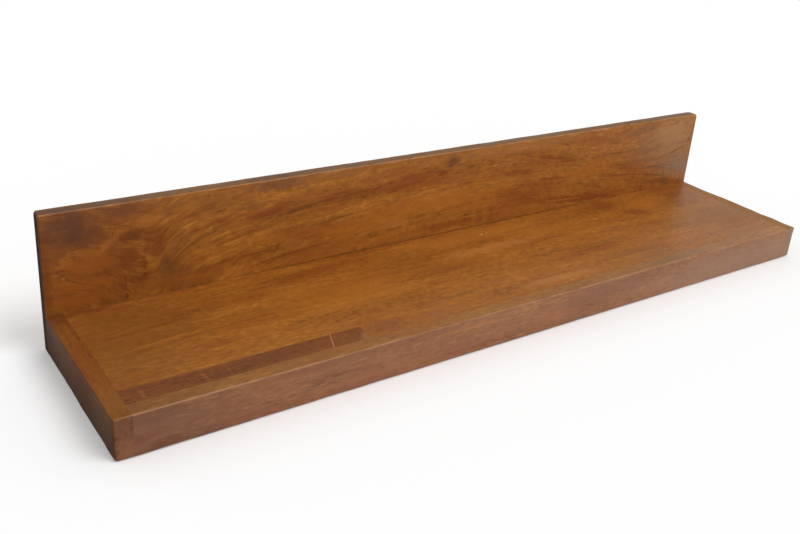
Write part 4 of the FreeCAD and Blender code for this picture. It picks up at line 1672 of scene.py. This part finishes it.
@dataclass(frozen=True)
class LetInStrip(SubAssembly):
    """The narrow strip behind the front board: two dark pieces, a filled joint and a light one."""

    dark: Timber = STRIP_STAIN
    line: Timber = LINE_STAIN
    light: Timber = STAIN

    def build(self) -> Iterator[bpy.types.Object]:
        """Dress the four pieces.

        Returns:
            Each piece in turn, dressed.
        """
        for label, finish, figure, nodes in (
                ("dark strip wood", self.dark, DARK_STRIP_FIGURE,
                 ("filler_strip_left", "filler_strip_short")),
                ("pale filler", self.line, Figure(seed=90.0, cloud=0.5), ("filler_line",)),
                ("light strip wood", self.light, LIGHT_STRIP_FIGURE, ("filler_strip_right",))):
            material = finish.material(label, SHELF.top_lay(), figure, SHELF.long_outside())
            yield from dress_nodes(nodes, material)


@dataclass(frozen=True)
class InnerFrame(SubAssembly):
    """The battens and ribs inside the box, and the dowels that hold the frame together."""

    timber: Timber = BARE_PINE
    dowel: Timber = BARE_BEECH

    def build(self) -> Iterator[bpy.types.Object]:
        """Dress battens, ribs and dowels, each with its grain along its length.

        Returns:
            Each piece in turn, dressed.
        """
        along = SHELF.top_lay()
        deep = Lay(SHELF.from_rear(), Measure(Axis.LENGTH, 1, 0), SHELF.from_top())
        for label, timber, lay, figure, nodes in (
                ("batten wood", self.timber, along, Figure(seed=100.0, waver=3.0),
                 ("front_batten", "rear_batten")),
                ("rib wood", self.timber, deep, Figure(seed=110.0, waver=3.0),
                 ("cross_rib_1", "cross_rib_2", "cross_rib_3")),
                ("corner dowel wood", self.dowel, along, Figure(seed=120.0), ("corner_dowels",)),
                ("rib dowel wood", self.dowel, deep, Figure(seed=130.0), ("rib_dowels",))):
            material = timber.material(label, lay, figure, SHELF.long_outside())
            yield from dress_nodes(nodes, material)


@dataclass(frozen=True)
class BottomPanel(SubAssembly):
    """The thin board that closes the box underneath."""

    underside: float = 2.0
    finish: Timber = PANEL_STAIN
    figure: Figure = Figure(
        seed=140.0, waver=8.0, streak=0.8, cloud=1.2,
        patches=(Patch(180, 70, 60, 14, (96, 60, 34), 0.5), Patch(620, 60, 90, 20, UMBER, 0.3),
                 Patch(430, 110, 40, 3, (168, 124, 80), 0.5, slope=0.1)))

    def build(self) -> Iterator[bpy.types.Object]:
        """Dress the panel.

        Returns:
            The panel.
        """
        below = Measure(Axis.HEIGHT, 1, self.underside)
        lay = Lay(SHELF.from_left(), SHELF.from_rear(), below)
        material = self.finish.material("panel wood", lay, self.figure, SHELF.long_outside())
        yield from dress_nodes(("bottom_panel",), material)


@dataclass(frozen=True)
class Hangers(SubAssembly):
    """The two keyhole plates let into the back board."""

    finish: PlatedSteel = WHITE_ZINC

    def build(self) -> Iterator[bpy.types.Object]:
        """Dress both plates.

        Returns:
            Each plate in turn, dressed.
        """
        yield from dress_nodes(("left_hanger", "right_hanger"), self.finish.material("bright zinc"))


class Facing(Enum):
    """The way the heads of a row of screws face."""

    REAR = (-math.pi / 2, 0.0, 0.0)
    DOWN = (math.pi, 0.0, 0.0)


@dataclass(frozen=True)
class ScrewSize:
    """Sizes of a countersunk wood screw with a cross recess, in millimetres."""

    head: float
    shank: float
    length: float
    pitch: float
    tip: float = 3.0


LARGE = ScrewSize(8.0, 4.0, 32.0, 1.8)
LARGE_SHORT = ScrewSize(8.0, 4.0, 29.0, 1.8)
SMALL = ScrewSize(6.4, 3.0, 12.0, 1.4)
SMALL_SHORT = ScrewSize(6.4, 3.0, 10.0, 1.4)


@dataclass(frozen=True)
class ScrewRow:
    """Screws of one size that stand for one CAD node."""

    node: str
    size: ScrewSize
    facing: Facing
    places: Sequence[Point]
    seed: int


SCREW_ROWS = (
    ScrewRow("end_board_screws", LARGE, Facing.REAR,
             [(x, 100, z) for x in (-442, 442) for z in (12, 29)], 1),
    ScrewRow("batten_screws", LARGE, Facing.REAR,
             [(x, 100, 17.5) for x in (-325.5, -108.5, 108.5, 325.5)], 2),
    ScrewRow("top_board_screws", LARGE_SHORT, Facing.DOWN,
             [(x, y, 8) for x in (-301.5, -84.5, 132.5, 349.5) for y in (-54, 76)], 3),
    ScrewRow("panel_screws", SMALL, Facing.DOWN,
             [(x, y, 2) for x in (-325.5, -108.5, 108.5, 325.5) for y in (-65, 76)], 4),
    ScrewRow("rib_screws", SMALL, Facing.DOWN, [(x, 10, 2) for x in (-217, 0, 217)], 5),
    ScrewRow("hanger_screws", SMALL_SHORT, Facing.REAR,
             [(x, 100, z) for x in (-300, 300) for z in (89, 127)], 6),
)


class ScrewTree:
    """The Geometry Nodes tree that cuts one screw and sets it at every point of a mesh.

    Attributes:
        INPUTS: The tree's inputs and their kinds.
        ROUND: How many sides the screw has.
        RECESS_WIDTH: The width of each arm of the cross.
        RECESS_DEPTH: How deep the cross is cut.
        RECESS_SPAN: The length of an arm, as a share of the head.
        CORE_SHARE: The radius under the thread, as a share of the shank's.
        BEVEL_IN: How far the head's flat face stays inside its rim.
        BEVEL_DEPTH: How deep the bevel round that face goes.
        RIM_IN: How far the rim stays inside the countersink.
        PLAIN_SHARE: The length of the plain shank, in its own radii.
        STEP_DOWN: The length over which the shank narrows to the core.
        POINT_RADIUS: The radius of the blunt point.
        RUN_OUT: How far the thread runs down the point, as a share of it.
        START_SHARE: The thread's first radius, as a share of the core's.
        STEPS_IN_TURN: How many steps make one turn of the thread.
        RIDGE_SIDES: How many sides the thread's ridge has.
    """

    INPUTS: ClassVar[Sequence[tuple[str, str]]] = (
        ("Head", "Float"), ("Shank", "Float"), ("Length", "Float"), ("Tip", "Float"),
        ("Pitch", "Float"), ("Facing", "Rotation"), ("Seed", "Int"), ("Finish", "Material"))
    ROUND: ClassVar[int] = 40
    RECESS_WIDTH: ClassVar[float] = 0.9
    RECESS_DEPTH: ClassVar[float] = 0.9
    RECESS_SPAN: ClassVar[float] = 0.55
    CORE_SHARE: ClassVar[float] = 0.68
    BEVEL_IN: ClassVar[float] = 0.34
    BEVEL_DEPTH: ClassVar[float] = 0.12
    RIM_IN: ClassVar[float] = 0.12
    PLAIN_SHARE: ClassVar[float] = 1.6
    STEP_DOWN: ClassVar[float] = 0.5
    POINT_RADIUS: ClassVar[float] = 0.12
    RUN_OUT: ClassVar[float] = 0.4
    START_SHARE: ClassVar[float] = 0.55
    STEPS_IN_TURN: ClassVar[int] = 20
    RIDGE_SIDES: ClassVar[int] = 4

    def __init__(self) -> None:
        """Build the tree once for all rows."""
        self.tree = bpy.data.node_groups.new("countersunk screws", "GeometryNodeTree")
        face = self.tree.interface
        face.new_socket("Geometry", in_out="INPUT", socket_type="NodeSocketGeometry")
        self.keys = {label: face.new_socket(label, in_out="INPUT",
                                            socket_type="NodeSocket" + kind).identifier
                     for label, kind in self.INPUTS}
        face.new_socket("Geometry", in_out="OUTPUT", socket_type="NodeSocketGeometry")
        self.graph = Graph(self.tree)
        given = self.graph.node("NodeGroupInput")
        self.given = {socket.name: Signal(self.graph, socket) for socket in given.outputs
                      if socket.name}
        out = self.graph.node("NodeGroupOutput")
        self.graph.feed(out.inputs[0], self.dressed(self.placed(self.recessed(self.blank()))))

    def use(self, kind: str, settings: Optional[dict[str, object]] = None,
            **inputs: object) -> Signal:
        """Add a node and feed its inputs by name.

        Args:
            kind: Blender's name for the kind of node.
            settings: Properties of the node.
            **inputs: Values by the inputs' names, with _ for a space.

        Returns:
            Its first output that is in use.
        """
        made = self.graph.node(kind, **(settings or {}))
        for label, value in inputs.items():
            self.graph.feed(made.inputs[label.replace("_", " ")], value)
        return Signal(self.graph, next(s for s in made.outputs if s.enabled))

    def pick(self, values: Sequence[Value]) -> Signal:
        """Give each point of a line its own number.

        Args:
            values: The numbers, in the points' order.

        Returns:
            The number for the point at hand.
        """
        made = self.graph.node("GeometryNodeIndexSwitch", data_type="FLOAT")
        for _ in values[2:]:
            made.index_switch_items.new()
        self.graph.feed(made.inputs["Index"], self.use("GeometryNodeInputIndex"))
        for number, value in enumerate(values):
            self.graph.feed(made.inputs[1 + number], value)
        return Signal(self.graph, made.outputs[0])

    def join(self, operation: str, first: Sequence[Signal], others: Sequence[Signal]) -> Signal:
        """Join solids, or cut some out of another.

        Args:
            operation: UNION or DIFFERENCE.
            first: The solid that is cut; none for a union.
            others: The solids that are joined or cut out.

        Returns:
            One solid.
        """
        made = self.graph.node("GeometryNodeMeshBoolean", operation=operation, solver="EXACT")
        for label, solids in (("Mesh 1", first), ("Mesh 2", others)):
            for solid in solids:
                self.graph.feed(made.inputs[label], solid)
        return Signal(self.graph, made.outputs[0])

    def blank(self) -> Signal:
        """Make head, shank, thread and point, with the head's face at height 0.

        Returns:
            One solid, in millimetres.
        """
        head, shank = self.given["Head"] * 0.5, self.given["Shank"] * 0.5
        core = shank * self.CORE_SHARE
        neck = (head - shank) * -1.0
        root = neck - shank * self.PLAIN_SHARE
        end = self.given["Length"] * -1.0
        tip = end + self.given["Tip"]
        heights = [0.0, -self.BEVEL_DEPTH, neck, root, root - self.STEP_DOWN, tip, end]
        widths = [head - self.BEVEL_IN, head - self.RIM_IN, shank, shank, core, core,
                  self.POINT_RADIUS]
        line = self.use("GeometryNodeMeshLine", Count=len(heights))
        place = self.use("ShaderNodeCombineXYZ", Z=self.pick(heights))
        line = self.use("GeometryNodeSetPosition", Geometry=line, Position=place)
        axis = self.use("GeometryNodeMeshToCurve", Mesh=line)
        disc = self.use("GeometryNodeCurvePrimitiveCircle", Resolution=self.ROUND, Radius=1.0)
        body = self.use("GeometryNodeCurveToMesh", Curve=axis, Profile_Curve=disc,
                        Scale=self.pick(widths), Fill_Caps=True)
        return self.join("UNION", (), (body, self.thread(shank, core, root, tip)))

    def thread(self, shank: Signal, core: Signal, root: Signal, tip: Signal) -> Signal:
        """Wind the thread.

        Args:
            shank: The radius over the thread.
            core: The radius under it.
            root: The height of the plain shank's end.
            tip: The height where the point begins.

        Returns:
            The thread as one solid.
        """
        run_out = self.given["Tip"] * self.RUN_OUT
        run = root - self.STEP_DOWN - tip + run_out
        helix = self.use("GeometryNodeCurveSpiral", Resolution=self.STEPS_IN_TURN, Height=run,
                         Rotations=run / self.given["Pitch"],
                         Start_Radius=core * self.START_SHARE, End_Radius=core)
        lift = self.use("ShaderNodeCombineXYZ", Z=tip - run_out)
        helix = self.use("GeometryNodeTransform", Geometry=helix, Translation=lift)
        ridge = self.use("GeometryNodeCurvePrimitiveCircle", Resolution=self.RIDGE_SIDES,
                         Radius=shank * (1 - self.CORE_SHARE))
        return self.use("GeometryNodeCurveToMesh", Curve=helix, Profile_Curve=ridge,
                        Fill_Caps=True)

    def recessed(self, blank: Signal) -> Signal:
        """Cut the cross into the head.

        Args:
            blank: The plain screw.

        Returns:
            The screw with its recess.
        """
        span = self.given["Head"] * self.RECESS_SPAN
        arms = []
        for x, y in ((span, self.RECESS_WIDTH), (self.RECESS_WIDTH, span)):
            size = self.use("ShaderNodeCombineXYZ", X=x, Y=y, Z=2 * self.RECESS_DEPTH)
            arms.append(self.use("GeometryNodeMeshCube", Size=size))
        return self.join("DIFFERENCE", (blank,), arms)

    def placed(self, screw: Signal) -> Signal:
        """Set the screw at every point, each turned another way about its own axis.

        Args:
            screw: The screw, in millimetres.

        Returns:
            The copies.
        """
        screw = self.use("GeometryNodeTransform", Geometry=screw, Scale=(MM, MM, MM))
        turn = self.use("FunctionNodeRandomValue", settings={"data_type": "FLOAT"},
                        Max=math.pi / 2, Seed=self.given["Seed"])
        spin = self.use("FunctionNodeEulerToRotation",
                        Euler=self.use("ShaderNodeCombineXYZ", Z=turn))
        way = self.use("FunctionNodeRotateRotation", settings={"rotation_space": "LOCAL"},
                       Rotation=self.given["Facing"], Rotate_By=spin)
        return self.use("GeometryNodeInstanceOnPoints", Points=self.given["Geometry"],
                        Instance=screw, Rotation=way)

    def dressed(self, screws: Signal) -> Signal:
        """Make the copies real and give them their finish."""
        real = self.use("GeometryNodeRealizeInstances", Geometry=screws)
        return self.use("GeometryNodeSetMaterial", Geometry=real, Material=self.given["Finish"])


@dataclass(frozen=True)
class Screws(SubAssembly):
    """All the screws: turned, threaded and cut with a cross recess."""

    rows: Sequence[ScrewRow] = SCREW_ROWS
    finish: PlatedSteel = YELLOW_ZINC
    soft_angle: float = math.radians(32)

    def build(self) -> Iterator[bpy.types.Object]:
        """Make one piece for each row.

        Returns:
            Each row's screws in turn, dressed.
        """
        tree = ScrewTree()
        material = self.finish.material("yellow zinc")
        for row in self.rows:
            piece = stand_in(f"{row.node}_cut", self.cut(tree, row, material), row.node)
            yield settle(piece)

    def cut(self, tree: ScrewTree, row: ScrewRow, material: bpy.types.Material
            ) -> bpy.types.Mesh:
        """Run the tree for one row and keep the plain mesh.

        Args:
            tree: The tree.
            row: The row of screws.
            material: Their finish.

        Returns:
            The mesh.
        """
        points = bpy.data.meshes.new(f"{row.node}_points")
        points.from_pydata([Vector(place) * MM for place in row.places], [], [])
        holder = add_object(f"{row.node}_points", points)
        modifier = holder.modifiers.new("screws", "NODES")
        modifier.node_group = tree.tree
        for label, value in (("Head", row.size.head), ("Shank", row.size.shank),
                             ("Length", row.size.length), ("Tip", row.size.tip),
                             ("Pitch", row.size.pitch), ("Facing", row.facing.value),
                             ("Seed", row.seed), ("Finish", material)):
            modifier[tree.keys[label]] = value
        solid = holder.evaluated_get(bpy.context.evaluated_depsgraph_get())
        mesh = bpy.data.meshes.new_from_object(solid)
        mesh.name = f"{row.node}_cut"
        bpy.data.objects.remove(holder)
        mesh.shade_smooth()
        mesh.set_sharp_from_angle(angle=self.soft_angle)
        return mesh


@dataclass(frozen=True)
class Studio:
    """Camera, floor and lights, in metres; lens and sensor in millimetres."""

    camera_at: Point = (-0.6330, -0.7153, 0.4812)
    camera_to: Point = (-0.0957, 0.0, 0.1018)
    roll: float = 0.08335
    lens: float = 41.93
    sensor: float = 36.0
    shift: Span = (-0.02, -0.05)
    nearest: float = 0.01
    floor_half: float = 6.0
    floor_gap: float = 0.3 * MM
    floor_tone: float = 0.9
    floor_glow: float = 0.14
    sky: float = 0.62
    sun: float = 1.35
    sun_way: Point = (0.55, -0.75, 1.2)
    sun_angle: float = math.radians(35)

    def build(self) -> None:
        """Set up everything round the shelf."""
        self.add_camera()
        self.add_floor()
        self.add_sky()
        self.add_sun()

    def add_camera(self) -> None:
        """Stand the camera where the photograph was taken."""
        data = bpy.data.cameras.new("camera")
        data.sensor_width = self.sensor
        data.lens = self.lens
        data.shift_x, data.shift_y = self.shift
        data.clip_start = self.nearest
        camera = add_object("camera", data)
        ahead = (Vector(self.camera_to) - Vector(self.camera_at)).normalized()
        right = ahead.cross(Vector((0, 0, 1))).normalized()
        up = right.cross(ahead)
        cosine, sine = math.cos(self.roll), math.sin(self.roll)
        columns = (right * cosine + up * sine, up * cosine - right * sine, -ahead)
        turned = Matrix(columns).transposed().to_4x4()
        camera.matrix_world = Matrix.Translation(self.camera_at) @ turned
        bpy.context.scene.camera = camera

    def add_floor(self) -> None:
        """Lay a plain pale floor."""
        half, low = self.floor_half, -self.floor_gap
        corners = [(-half, -half, low), (half, -half, low), (half, half, low), (-half, half, low)]
        mesh = bpy.data.meshes.new("floor")
        mesh.from_pydata(corners, [], [(0, 1, 2, 3)])
        floor = add_object("floor", mesh)
        material, graph = new_material("floor paper")
        matte = graph.node("ShaderNodeBsdfDiffuse")
        tone = self.floor_tone
        matte.inputs["Color"].default_value = (tone, tone, tone, 1)
        glow = graph.node("ShaderNodeEmission")
        graph.feed(glow.inputs["Strength"], seen_directly(graph) * self.floor_glow)
        both = graph.node("ShaderNodeAddShader")
        graph.feed(both.inputs[0], matte.outputs[0])
        graph.feed(both.inputs[1], glow.outputs[0])
        out = graph.node("ShaderNodeOutputMaterial")
        graph.feed(out.inputs["Surface"], both.outputs[0])
        mesh.materials.append(material)

    def add_sky(self) -> None:
        """Light the room evenly, and show white behind everything."""
        world = bpy.data.worlds.new("studio")
        bpy.context.scene.world = world
        world.use_nodes = True
        world.node_tree.nodes.clear()
        graph = Graph(world.node_tree)
        back = graph.node("ShaderNodeBackground")
        back.inputs["Color"].default_value = (1, 1, 1, 1)
        graph.feed(back.inputs["Strength"], seen_directly(graph) * (1 - self.sky) + self.sky)
        out = graph.node("ShaderNodeOutputWorld")
        graph.feed(out.inputs["Surface"], back.outputs[0])

    def add_sun(self) -> None:
        """Hang one large soft lamp above, in front and to the right."""
        data = bpy.data.lights.new("key lamp", "SUN")
        data.energy = self.sun
        data.angle = self.sun_angle
        lamp = add_object("key lamp", data)
        lamp.rotation_euler = Vector(self.sun_way).to_track_quat("Z", "Y").to_euler()


def seen_directly(graph: Graph) -> Signal:
    """1 where a ray shows the backdrop, from the camera or in gloss or glass, and 0 for light.

    Args:
        graph: Where the nodes are added.

    Returns:
        0 or 1.
    """
    path = graph.node("ShaderNodeLightPath")
    either = graph.math("MAXIMUM", Signal(graph, path.outputs["Is Camera Ray"]),
                        Signal(graph, path.outputs["Is Glossy Ray"]))
    return graph.math("MAXIMUM", either, Signal(graph, path.outputs["Is Transmission Ray"]))


def main() -> None:
    """Build and dress every sub-assembly, and light the shelf."""
    logging.basicConfig(level=logging.INFO, format="%(name)s: %(message)s")
    bpy.context.scene.view_settings.view_transform = "Standard"
    Studio().build()
    for part in (BackBoard(), EndBoards(), FrontBoard(), TopBoard(), LetInStrip(), InnerFrame(),
                 BottomPanel(), Hangers(), Screws()):
        for piece in part.build():
            LOG.info("%s: %s, %d faces", type(part).__name__, piece.name, len(piece.data.polygons))


if __name__ == "__main__":
    main()
